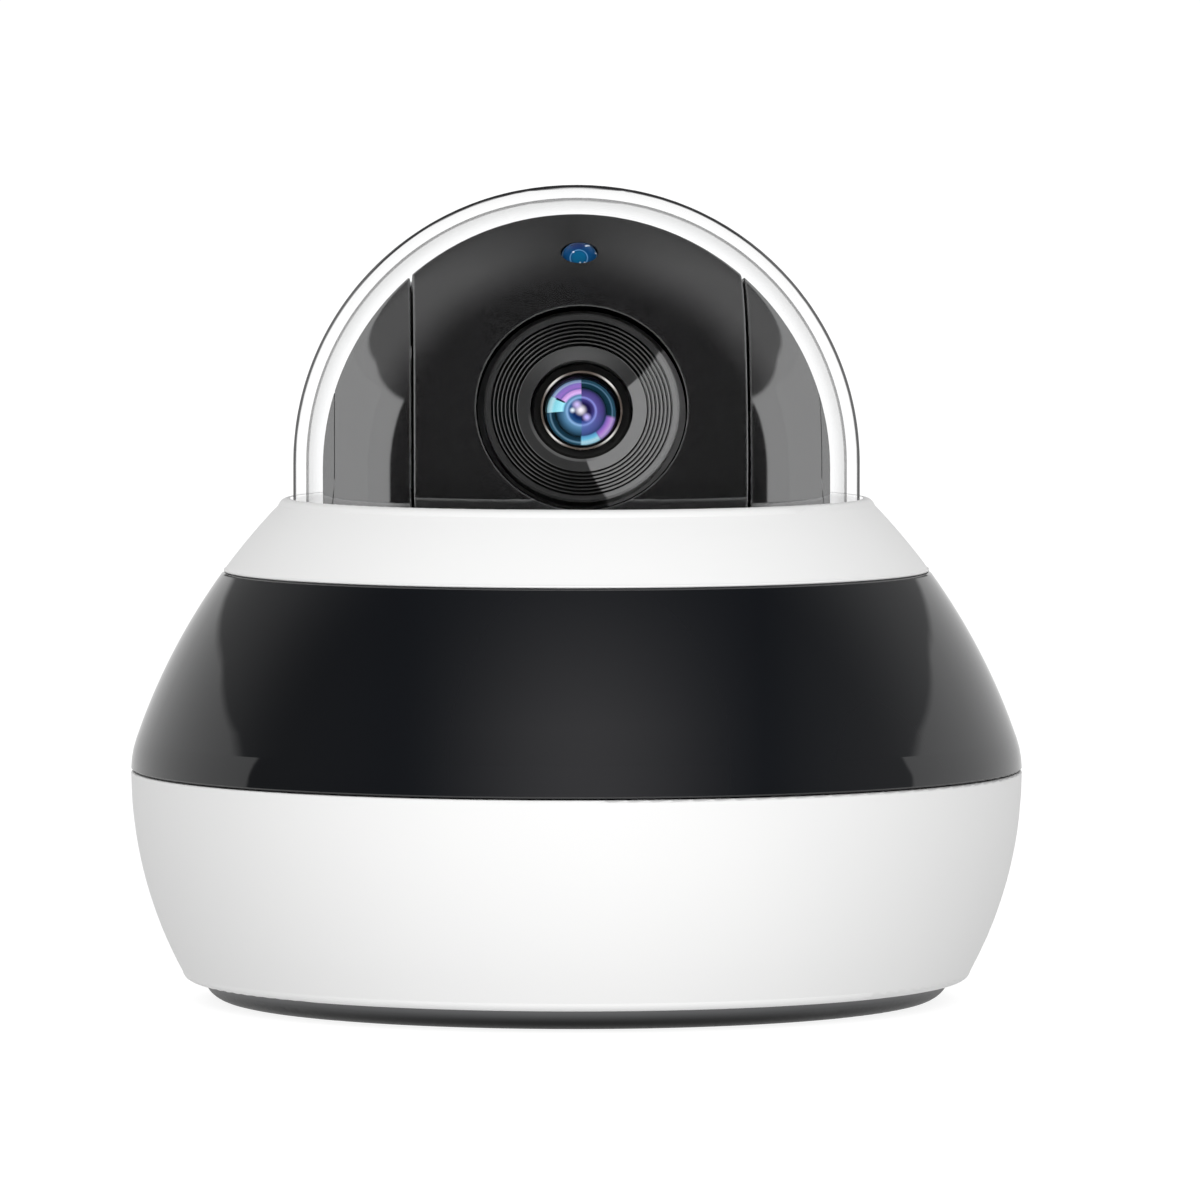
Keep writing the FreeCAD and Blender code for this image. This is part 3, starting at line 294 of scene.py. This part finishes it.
def head_black():
    """Satin charcoal moulding of the head, with painted highlights along the edges of its seams and opening,
    and painted shade on the opening's inner wall.
    """
    n = new_material("head_black")
    where = n.place()
    fine = n.noise(where, 2400.0, 4.0, 0.6)
    broad = n.noise(where, 70.0, 3.0)
    base = n.blend(broad, (0.0175, 0.0175, 0.0178), (0.0205, 0.0205, 0.0208))
    aside = n.math("ABSOLUTE", n.add("ShaderNodeSeparateXYZ", {0: where}).outputs[0])
    aside = n.math("MULTIPLY", aside, 1000)
    from_seam = n.math("ABSOLUTE", n.math("SUBTRACT", aside, SEAM_X))
    radius, _, ahead = n.polar(LENS_FRAME)
    in_front = n.between(ahead, 12.0, 13.0)
    # painted shade: the opening's inner wall is nearly black and has no sheen
    shaded_wall = n.all_of(n.between(radius, OPENING_R + 0.02, OPENING_R), in_front)
    # painted highlights along the edges beside the seams and on the opening's rim
    rim = n.all_of(n.band(radius, OPENING_R + 0.03, OPENING_R + 0.2, 0.02), in_front)
    lit_edges = n.math("MAXIMUM", n.band(from_seam, 0.2, 0.4, 0.04), rim)
    colour = n.blend(shaded_wall, n.blend(lit_edges, base, (0.105, 0.105, 0.105)), (0.0006, 0.0006, 0.0006))
    body = n.add("ShaderNodeBsdfPrincipled", {
        "Base Color": colour,
        "Roughness": n.between(fine, 0.3, 0.7, 0.42, 0.5),
        "Specular IOR Level": 0.0,
        "Normal": n.bump(fine, 0.06, 0.00002),
    })
    sheen = n.add("ShaderNodeBsdfGlossy", {"Color": grey(0.9), "Roughness": 0.06})
    share = n.between(shaded_wall, 0.0, 1.0, 0.3, 0.0)
    mixed = n.add("ShaderNodeMixShader", {0: share, 1: body.outputs[0], 2: sheen.outputs[0]})
    return n.finish(mixed.outputs[0])


def clear_dome():
    """Clear acrylic: a little gloss, painted grey shade near the rim, and a painted dark line where a face
    is seen edge on.
    """
    n = new_material("clear_dome")
    facing = n.add("ShaderNodeLayerWeight", {"Blend": 0.5}).outputs["Facing"]
    where = n.place()
    haze = n.noise(where, 40.0, 2.0)
    offset = n.add("ShaderNodeVectorMath", {0: where, 1: DOME_MIDDLE}, operation="DISTANCE").outputs["Value"]
    outside = n.between(n.math("MULTIPLY", offset, 1000), DOME_WALL_MIDDLE - 0.01, DOME_WALL_MIDDLE + 0.01)
    # painted shade: the see-through colour greys near the rim and turns into a dark line where a face is
    # seen edge on
    edge = n.between(facing, 0.845, 0.885, smooth=True)
    near_rim = n.between(facing, 0.6, 0.86, smooth=True)
    line = n.blend(outside, (0.58, 0.58, 0.58), (0.11, 0.11, 0.115))
    tint = n.blend(near_rim, (0.992, 0.993, 0.994), n.blend(outside, (0.86, 0.86, 0.86), (0.97, 0.97, 0.97)))
    tint = n.blend(edge, tint, line)
    clear = n.add("ShaderNodeBsdfTransparent", {"Color": tint})
    gloss = n.add("ShaderNodeBsdfGlossy", {"Color": grey(1.0),
                                           "Roughness": n.between(haze, 0.3, 0.7, 0.0, 0.02)})
    share = n.math("ADD", n.math("MULTIPLY", n.math("POWER", facing, 6.0), 0.25), 0.012)
    share = n.math("MULTIPLY", share, outside)
    mixed = n.add("ShaderNodeMixShader", {0: share, 1: clear.outputs[0], 2: gloss.outputs[0]})
    return n.finish(mixed.outputs[0])


def dark_base():
    """Satin dark grey moulding of the bottom cover, with painted shade that darkens it down to the ground.
    """
    n = new_material("dark_base")
    where = n.place()
    fine = n.noise(where, 2000.0, 4.0, 0.6)
    _, _, height = n.polar()
    # painted shade: nearly black at the ground, lighter grey towards the top
    lit = n.between(height, 0.7, 3.4, smooth=True)
    shader = n.add("ShaderNodeBsdfPrincipled", {
        "Base Color": n.blend(lit, (0.002, 0.002, 0.002), (0.21, 0.212, 0.217)),
        "Roughness": n.between(fine, 0.3, 0.7, 0.36, 0.44),
        "Specular IOR Level": 0.15,
        "Normal": n.bump(fine, 0.2, 0.00002),
    })
    return n.finish(shader.outputs[0])


def rubber():
    return moulded("rubber", (0.018, 0.018, 0.018), 0.8, grain=0.6, grain_size=0.6, specular=0.3)


# ---------------------------------------------------------------- materials of the lens
def bezel_black():
    """Turned black ring: painted highlights on the crests, painted shade in the grooves, painted light
    above, and a painted sweep of light on one side.
    """
    n = new_material("bezel_black")
    radius, angle, _ = n.polar(LENS_FRAME)
    marks = n.noise(n.add("ShaderNodeCombineXYZ", {0: radius}).outputs[0], 9.0, 3.0)
    fine = n.noise(n.place(), 2200.0, 4.0)

    # the sweep of light turns slightly with the radius, like any turned finish
    turned = n.math("SUBTRACT", angle, n.math("MULTIPLY", n.math("SUBTRACT", radius, 7.0), 1.8))
    sweep = n.band(turned, -84.0, 28.0, 0.8)
    # painted light: the lands are lighter on the upper part
    upper_light = n.between(angle, 30.0, 90.0, smooth=True)
    upper_light = n.all_of(upper_light, n.between(angle, 165.0, 100.0, smooth=True), n.between(radius, 11.2, 7.0))
    land = n.blend(upper_light, (0.033, 0.033, 0.033), (0.08, 0.08, 0.08))
    land = n.blend(sweep, land, (0.21, 0.21, 0.21))

    grooved = n.band(radius, GROOVE_IN - 0.08, GROOVE_END)
    phase = n.math("FLOORED_MODULO", n.math("SUBTRACT", radius, GROOVE_IN), GROOVE_PITCH)
    aside = n.math("ABSOLUTE", n.math("COSINE", n.math("MULTIPLY", angle, math.pi / 180)))
    # painted highlights on the crests, fading towards top and bottom, and painted shade in the grooves
    crest_highlight = n.all_of(n.band(phase, 0.37, 0.47, 0.03), n.between(aside, 0.12, 0.75, smooth=True))
    groove = n.blend(sweep, n.band(phase, 0.0, 0.34, 0.03), n.band(phase, 0.02, 0.17, 0.03))
    striped = n.blend(crest_highlight, land, n.blend(sweep, (0.13, 0.13, 0.13), (0.24, 0.24, 0.24)))
    striped = n.blend(groove, striped, (0.004, 0.004, 0.004))
    colour = n.blend(grooved, land, striped)
    # painted highlight on the lower left of the cone's inner bevel
    bevel_highlight = n.all_of(n.band(radius, 6.0, 6.55, 0.04), n.band(angle, -165.0, -82.0, 12.0))
    colour = n.blend(bevel_highlight, colour, (0.1, 0.1, 0.1))
    colour = n.blend(n.math("MULTIPLY", fine, 0.1), colour, (0.02, 0.02, 0.02))
    shader = n.add("ShaderNodeBsdfPrincipled", {
        "Base Color": colour,
        "Roughness": n.between(marks, 0.3, 0.7, 0.3, 0.42),
        "Specular IOR Level": 0.3,
        "Normal": n.bump(marks, 0.1, 0.00001),
    })
    return n.finish(shader.outputs[0])


def glass_sectors(n, share, angle):
    """The painted reflections of a multi-coated lens: coloured sectors and rings, by share of its radius and
    angle.
    """
    violet = n.ramp(share, [
        (0.0, srgb(40, 30, 85)), (0.24, srgb(24, 18, 62)), (0.36, srgb(66, 60, 128)),
        (0.42, srgb(140, 145, 220)), (0.47, srgb(88, 78, 148)), (0.62, srgb(70, 62, 122)),
        (0.72, srgb(12, 36, 46)), (0.86, srgb(20, 56, 72)), (0.9, srgb(100, 138, 168)),
        (0.93, srgb(46, 84, 104)), (1.0, srgb(62, 104, 130))])
    steel = n.ramp(share, [
        (0.0, srgb(22, 28, 66)), (0.24, srgb(14, 40, 92)), (0.36, srgb(42, 84, 136)),
        (0.42, srgb(138, 178, 222)), (0.48, srgb(88, 134, 170)), (0.6, srgb(58, 98, 128)),
        (0.74, srgb(10, 26, 34)), (0.86, srgb(28, 62, 82)), (0.9, srgb(114, 154, 180)),
        (0.94, srgb(44, 86, 108)), (1.0, srgb(56, 102, 132))])
    purple = n.ramp(share, [
        (0.5, srgb(160, 152, 222)), (0.58, srgb(228, 184, 242)), (0.67, srgb(190, 142, 216)),
        (0.7, srgb(112, 104, 176)), (0.75, srgb(156, 114, 204)), (0.88, srgb(140, 122, 206)),
        (0.91, srgb(176, 196, 230)), (1.0, srgb(132, 162, 212))])
    cyan = n.ramp(share, [
        (0.5, srgb(104, 184, 222)), (0.57, srgb(168, 238, 252)), (0.8, srgb(140, 220, 236)),
        (0.9, srgb(200, 244, 255)), (1.0, srgb(170, 228, 242))])
    low_cyan = n.ramp(share, [
        (0.72, srgb(84, 142, 196)), (0.82, srgb(112, 194, 226)), (0.9, srgb(196, 238, 252)),
        (1.0, srgb(150, 216, 240))])
    low_purple = n.ramp(share, [
        (0.72, srgb(92, 84, 166)), (0.84, srgb(178, 128, 218)), (0.92, srgb(206, 176, 238)),
        (1.0, srgb(140, 122, 202))])

    left = n.between(n.math("ABSOLUTE", angle), 89.4, 90.6)
    low_right = n.all_of(n.between(angle, 0.0, -95.0), n.band(share, 0.3, 0.72, 0.03))
    colour = n.blend(n.math("MULTIPLY", low_right, 0.75), violet, n.blend(0.5, steel, srgb(84, 104, 190)))
    colour = n.blend(left, colour, steel)
    outer, rim = n.between(share, 0.49, 0.53), n.between(share, 0.7, 0.74)
    colour = n.blend(n.all_of(n.band(angle, 90.0, 150.0, 0.8), outer), colour, purple)
    colour = n.blend(n.all_of(n.band(angle, 150.0, 181.0, 0.8), outer), colour, cyan)
    colour = n.blend(n.all_of(n.band(angle, -91.0, -55.0, 1.5), rim), colour, low_cyan)
    colour = n.blend(n.all_of(n.band(angle, -55.0, -9.0, 3.0), rim), colour, low_purple)
    notch = n.all_of(n.band(angle, 148.0, 152.5, 0.6), n.band(share, 0.55, 0.84, 0.02))
    return n.blend(notch, colour, srgb(10, 40, 58))


def coated_glass():
    """The front element, with the coloured reflections of its coatings and its glints painted on."""
    n = new_material("coated_glass")
    radius, angle, _ = n.polar(LENS_FRAME)
    share = n.math("DIVIDE", radius, GLASS_R)
    colour = glass_sectors(n, share, angle)
    # painted highlights: soft glints on the glass
    glints = ((-0.02, 0.03, 0.17, srgb(250, 244, 255)), (-0.13, 0.2, 0.15, srgb(206, 190, 244)),
              (0.15, -0.18, 0.13, srgb(196, 186, 255)), (-0.26, 0.03, 0.09, srgb(232, 244, 255)))
    for x, y, size, tint in glints:
        middle = Vector((x, y, 0)) * GLASS_R * MM
        flat = n.add("ShaderNodeVectorMath", {0: n.place(LENS_FRAME), 1: (1, 1, 0)}, operation="MULTIPLY")
        away = n.add("ShaderNodeVectorMath", {0: flat.outputs[0], 1: middle}, operation="DISTANCE")
        spot = n.between(away.outputs["Value"], size * 1.25 * GLASS_R * MM, 0.0, smooth=True)
        colour = n.blend(spot, colour, tint)
    haze = n.noise(n.place(), 300.0, 2.0)
    shader = n.add("ShaderNodeBsdfPrincipled", {
        "Base Color": colour,
        "Roughness": n.between(haze, 0.3, 0.7, 0.03, 0.06),
        "Specular IOR Level": 0.4,
        "Coat Weight": 0.5,
    })
    return n.finish(shader.outputs[0])


def lens_glass():
    """The inner elements: clear, with a faint blue coating."""
    n = new_material("lens_glass")
    facing = n.add("ShaderNodeLayerWeight", {"Blend": 0.5}).outputs["Facing"]
    clear = n.add("ShaderNodeBsdfTransparent", {"Color": (0.84, 0.9, 1.0, 1.0)})
    gloss = n.add("ShaderNodeBsdfGlossy", {"Color": (0.6, 0.7, 1.0, 1.0), "Roughness": 0.03})
    share = n.math("ADD", n.math("MULTIPLY", n.math("POWER", facing, 4.0), 0.6), 0.06)
    mixed = n.add("ShaderNodeMixShader", {0: share, 1: clear.outputs[0], 2: gloss.outputs[0]})
    return n.finish(mixed.outputs[0])


def trim_metal():
    """Bright turned ring: warm metal with four short painted gleams."""
    n = new_material("trim_metal")
    _, angle, _ = n.polar(LENS_FRAME)
    twice = n.math("ABSOLUTE", n.math("SINE", n.math("MULTIPLY", angle, 2 * math.pi / 180)))
    gleam = n.math("POWER", twice, 7.0)
    marks = n.noise(n.place(), 1500.0, 3.0)
    colour = n.blend(gleam, (0.135, 0.108, 0.092), (0.92, 0.9, 0.86))
    shader = n.add("ShaderNodeBsdfPrincipled", {
        "Base Color": colour,
        "Metallic": 0.15,
        "Roughness": n.between(marks, 0.3, 0.7, 0.2, 0.28),
    })
    return n.finish(shader.outputs[0])


def barrel_black():
    """Black anodised cup round the glass, with a little painted light on its lower half."""
    n = new_material("barrel_black")
    radius, angle, _ = n.polar(LENS_FRAME)
    # painted light: the outer part of the lower half is a little lighter
    lower_light = n.between(n.math("SINE", n.math("MULTIPLY", angle, math.pi / 180)), 0.9, -0.9, smooth=True)
    outer = n.between(radius, 4.95, 5.9, smooth=True)
    fine = n.noise(n.place(), 2600.0, 4.0)
    colour = n.blend(n.all_of(lower_light, outer), (0.0055, 0.0055, 0.0055), (0.016, 0.0155, 0.015))
    colour = n.blend(n.between(radius, 4.72, 4.6), colour, (0.0008, 0.0008, 0.0008))
    shader = n.add("ShaderNodeBsdfPrincipled", {
        "Base Color": colour,
        "Roughness": n.between(fine, 0.3, 0.7, 0.36, 0.46),
        "Specular IOR Level": 0.3,
        "Normal": n.bump(fine, 0.1, 0.00002),
    })
    return n.finish(shader.outputs[0])


def blue_lens():
    """The light sensor's blue window, painted with the ring and the glints of its inner lens."""
    n = new_material("blue_lens")
    part = n.add("ShaderNodeSeparateXYZ", {"Vector": n.place(SENSOR_FRAME)})
    x = n.math("MULTIPLY", part.outputs[0], 1000)
    y = n.math("MULTIPLY", part.outputs[1], 1000)

    def away(from_x, from_y):
        dx, dy = n.math("SUBTRACT", x, from_x), n.math("SUBTRACT", y, from_y)
        return n.math("SQRT", n.math("ADD", n.math("MULTIPLY", dx, dx), n.math("MULTIPLY", dy, dy)))

    mottle = n.noise(n.place(), 900.0, 3.0)
    colour = n.blend(mottle, srgb(4, 58, 108), srgb(22, 80, 128))
    colour = n.blend(n.between(away(-0.25, 1.3), 1.3, 0.5, smooth=True), colour, srgb(26, 52, 104))
    colour = n.blend(n.between(away(-0.1, -0.75), 1.0, 0.7), colour, srgb(12, 92, 134))
    colour = n.blend(n.band(away(-0.1, -0.75), 1.0, 1.12, 0.05), colour, srgb(96, 152, 196))
    colour = n.blend(n.band(away(0.0, 0.0), 2.02, 2.14, 0.04), colour, srgb(90, 116, 136))
    glints = ((0.95, 1.35, 0.2), (1.15, 1.5, 0.18), (0.8, 1.2, 0.17), (2.0, 0.35, 0.16),
              (0.62, -1.45, 0.17), (0.05, -1.45, 0.13), (-0.75, 0.05, 0.15))
    for spot_x, spot_y, size in glints:
        colour = n.blend(n.between(away(spot_x, spot_y), size, size * 0.5), colour, srgb(225, 236, 250))
    shader = n.add("ShaderNodeBsdfPrincipled", {
        "Base Color": colour,
        "Roughness": 0.1,
        "Specular IOR Level": 0.4,
        "Coat Weight": 0.4,
    })
    return n.finish(shader.outputs[0])


# ---------------------------------------------------------------- which slot gets what
MATERIALS = {
    "white_abs": white_abs(),
    "smoked_window": smoked_window(),
    "head_black": head_black(),
    "clear_dome": clear_dome(),
    "dark_base": dark_base(),
    "rubber": rubber(),
    "bezel_black": bezel_black(),
    "coated_glass": coated_glass(),
    "lens_glass": lens_glass(),
    "black_abs": moulded("black_abs", (0.022, 0.022, 0.024), 0.5),
    "steel": metal("steel", (0.62, 0.62, 0.63), 0.32),
    "steel_sheet": metal("steel_sheet", (0.55, 0.56, 0.57), 0.38, 0.3, (1, 1, 12)),
    "brass": metal("brass", (0.72, 0.53, 0.25), 0.28),
    "bronze": metal("bronze", (0.5, 0.34, 0.2), 0.42),
    "acetal": moulded("acetal", (0.8, 0.78, 0.71), 0.42),
    "motor_case": metal("motor_case", (0.5, 0.5, 0.52), 0.34),
    "circuit_board": moulded("circuit_board", (0.012, 0.09, 0.035), 0.3, coat=0.4),
    "chip_resin": moulded("chip_resin", (0.02, 0.02, 0.021), 0.55),
    "heat_sink": metal("heat_sink", (0.7, 0.71, 0.73), 0.4, 0.4, (1, 8, 1)),
    "shield_can": metal("shield_can", (0.68, 0.68, 0.67), 0.3),
    "connector_nylon": moulded("connector_nylon", (0.78, 0.75, 0.66), 0.5),
    "capacitor_can": metal("capacitor_can", (0.66, 0.66, 0.68), 0.26),
    "speaker_frame": moulded("speaker_frame", (0.03, 0.03, 0.03), 0.4),
    "lamp_epoxy": moulded("lamp_epoxy", (0.05, 0.03, 0.05), 0.12, grain=0.02),
    "ribbon_film": moulded("ribbon_film", (0.36, 0.16, 0.03), 0.3),
    "barrel_black": barrel_black(),
    "trim_metal": trim_metal(),
    "sensor_die": moulded("sensor_die", (0.02, 0.018, 0.035), 0.12, grain=0.02),
    "blue_lens": blue_lens(),
    "felt": moulded("felt", (0.004, 0.004, 0.004), 0.95, grain=0.8, grain_size=0.3, specular=0.0),
}


def dress_nodes():
    """Gives every CAD node the material of its slot."""
    for part in frame["record"]["subparts"]:
        mesh = NODES[part["node"]].data
        mesh.materials.clear()
        mesh.materials.append(MATERIALS[part["material_slot"]])


def felt_arc(build, x, radius):
    """The corners of one edge of a felt arc: over the head, from back to front, at one x and radius."""
    corners = []
    for angle in range(FELT_ENDS[0], FELT_ENDS[1] + 1, FELT_STEP):
        turn = math.radians(angle)
        corner = Vector((x, radius * math.cos(turn), radius * math.sin(turn)))
        corners.append(build.verts.new(HEAD_CENTRE + corner * MM))
    return corners


def make_seam_felts():
    """A thin black felt arc in each seam beside the head, so that no light shows through the gap."""
    for side, name in ((-1, "left"), (1, "right")):
        mesh = bpy.data.meshes.new("seam_felt_" + name)
        build = bmesh.new()
        near_x, far_x = side * (SEAM_X - FELT_HALF), side * (SEAM_X + FELT_HALF)
        near_in, near_out = felt_arc(build, near_x, FELT_IN), felt_arc(build, near_x, FELT_OUT)
        far_in, far_out = felt_arc(build, far_x, FELT_IN), felt_arc(build, far_x, FELT_OUT)
        for a, b in ((near_in, near_out), (far_out, far_in), (near_out, far_out), (far_in, near_in)):
            for k in range(len(a) - 1):
                build.faces.new((a[k], a[k + 1], b[k + 1], b[k]))
        for k in (0, -1):
            build.faces.new((near_in[k], near_out[k], far_out[k], far_in[k]))
        bmesh.ops.recalc_face_normals(build, faces=build.faces)
        build.to_mesh(mesh)
        build.free()
        mesh.materials.append(MATERIALS["felt"])
        felt = bpy.data.objects.new("seam_felt_" + name, mesh)
        bpy.context.scene.collection.objects.link(felt)
        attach(felt, JOINTS["tilt"]["parent"])


dress_nodes()
NODES["dome_cover"].visible_shadow = False  # clear, so it darkens nothing behind it
make_seam_felts()


# ---------------------------------------------------------------- studio
CAMERA_DISTANCE = 1.287
CAMERA_HEIGHT = 0.1159
CAMERA_AZIMUTH = math.radians(-1.35)
CAMERA_PITCH = math.radians(-2.961)
CAMERA_YAW = math.radians(-0.129)
FOCAL_LENGTH = 313.1     # millimetres
SENSOR_WIDTH = 36.0


def make_camera():
    data = bpy.data.cameras.new("camera")
    data.lens = FOCAL_LENGTH
    data.sensor_width = SENSOR_WIDTH
    data.clip_start = 0.05
    camera = bpy.data.objects.new("camera", data)
    bpy.context.scene.collection.objects.link(camera)
    camera.location = (CAMERA_DISTANCE * math.sin(CAMERA_AZIMUTH),
                       -CAMERA_DISTANCE * math.cos(CAMERA_AZIMUTH), CAMERA_HEIGHT)
    camera.rotation_euler = (math.radians(90) + CAMERA_PITCH, 0, CAMERA_AZIMUTH + CAMERA_YAW)
    bpy.context.scene.camera = camera


FLOOR_RADIUS = 30.0      # metres: far past the view
FLOOR_PAPER = 0.25       # how much light it gives back, and how much it has of its own
FLOOR_GLOW = 0.87


def make_floor():
    """A plain white floor that runs far past the view, with only a faint shadow on it."""
    mesh = bpy.data.meshes.new("floor")
    build = bmesh.new()
    bmesh.ops.create_circle(build, cap_ends=True, radius=FLOOR_RADIUS, segments=96)
    build.to_mesh(mesh)
    build.free()
    floor = bpy.data.objects.new("floor", mesh)
    bpy.context.scene.collection.objects.link(floor)
    n = new_material("floor_white")
    paper = n.add("ShaderNodeBsdfDiffuse", {"Color": grey(FLOOR_PAPER)})
    glow = n.add("ShaderNodeEmission", {"Color": grey(1.0), "Strength": FLOOR_GLOW})
    both = n.add("ShaderNodeAddShader", {0: paper.outputs[0], 1: glow.outputs[0]})
    mesh.materials.append(n.finish(both.outputs[0]))
    floor.visible_glossy = False
    floor.visible_diffuse = False


MATT_AROUND = 0.1        # light on matt surfaces: from everywhere, front and back, and above
MATT_FRONT_BACK = 1.78
MATT_ABOVE = 0.65
CARD_LIGHT = 0.8         # light in reflections: the low card behind, the haze over it, and the rest
HAZE_LIGHT = 0.25
DARK_LIGHT = 0.008
CARD_TOP = 0.36          # the card's height at its sides, as a share of the way to straight overhead
CARD_MIDDLE = 0.075      # its height at the middle, and how fast it rises from there
CARD_RISE = 0.4
BACKDROP_LIGHT = 1.05


def make_world():
    """Soft light, set apart for matt surfaces, for reflections and for the camera.

    Matt surfaces get it mainly from front and back, reflections get a wide white card behind, and the
    camera sees an even white backdrop.
    """
    world = bpy.data.worlds.new("studio")
    bpy.context.scene.world = world
    n = Nodes(world, "ShaderNodeOutputWorld")
    world.cycles.sampling_method = "NONE"
    way = n.add("ShaderNodeTexCoord").outputs["Generated"]
    part = n.add("ShaderNodeSeparateXYZ", {"Vector": way})
    aside = n.math("ABSOLUTE", part.outputs[0])
    back, up = part.outputs[1], part.outputs[2]

    lobes = n.math("MULTIPLY", n.math("POWER", n.math("ABSOLUTE", back), 1.5), MATT_FRONT_BACK)
    above = n.math("MULTIPLY", n.math("POWER", n.math("MAXIMUM", up, 0.0), 2.0), MATT_ABOVE)
    matt = n.math("ADD", n.math("ADD", lobes, above), MATT_AROUND)

    slope = n.math("SUBTRACT", up, n.math("MULTIPLY", aside, CARD_RISE))
    low = n.all_of(n.between(slope, CARD_MIDDLE + 0.01, CARD_MIDDLE - 0.01),
                   n.between(up, CARD_TOP + 0.01, CARD_TOP - 0.01))
    card = n.all_of(n.between(back, 0.08, 0.1), low)
    haze = n.all_of(n.math("SUBTRACT", 1.0, low), n.between(back, -0.05, 0.6, smooth=True),
                    n.between(aside, 0.0, 0.4, 0.28, 1.0))
    gloss = n.math("ADD", n.math("MULTIPLY", card, CARD_LIGHT), n.math("MULTIPLY", haze, HAZE_LIGHT))
    gloss = n.math("ADD", gloss, DARK_LIGHT)

    path = n.add("ShaderNodeLightPath")
    strength = n.add("ShaderNodeMix", {0: path.outputs["Is Glossy Ray"], 2: matt, 3: gloss})
    strength = n.add("ShaderNodeMix", {0: path.outputs["Is Camera Ray"], 2: strength.outputs[0],
                                       3: BACKDROP_LIGHT})
    shader = n.add("ShaderNodeBackground", {"Color": grey(1.0), "Strength": strength.outputs[0]})
    n.finish(shader.outputs[0])


make_camera()
make_floor()
make_world()
bpy.context.scene.view_settings.view_transform = "Standard"
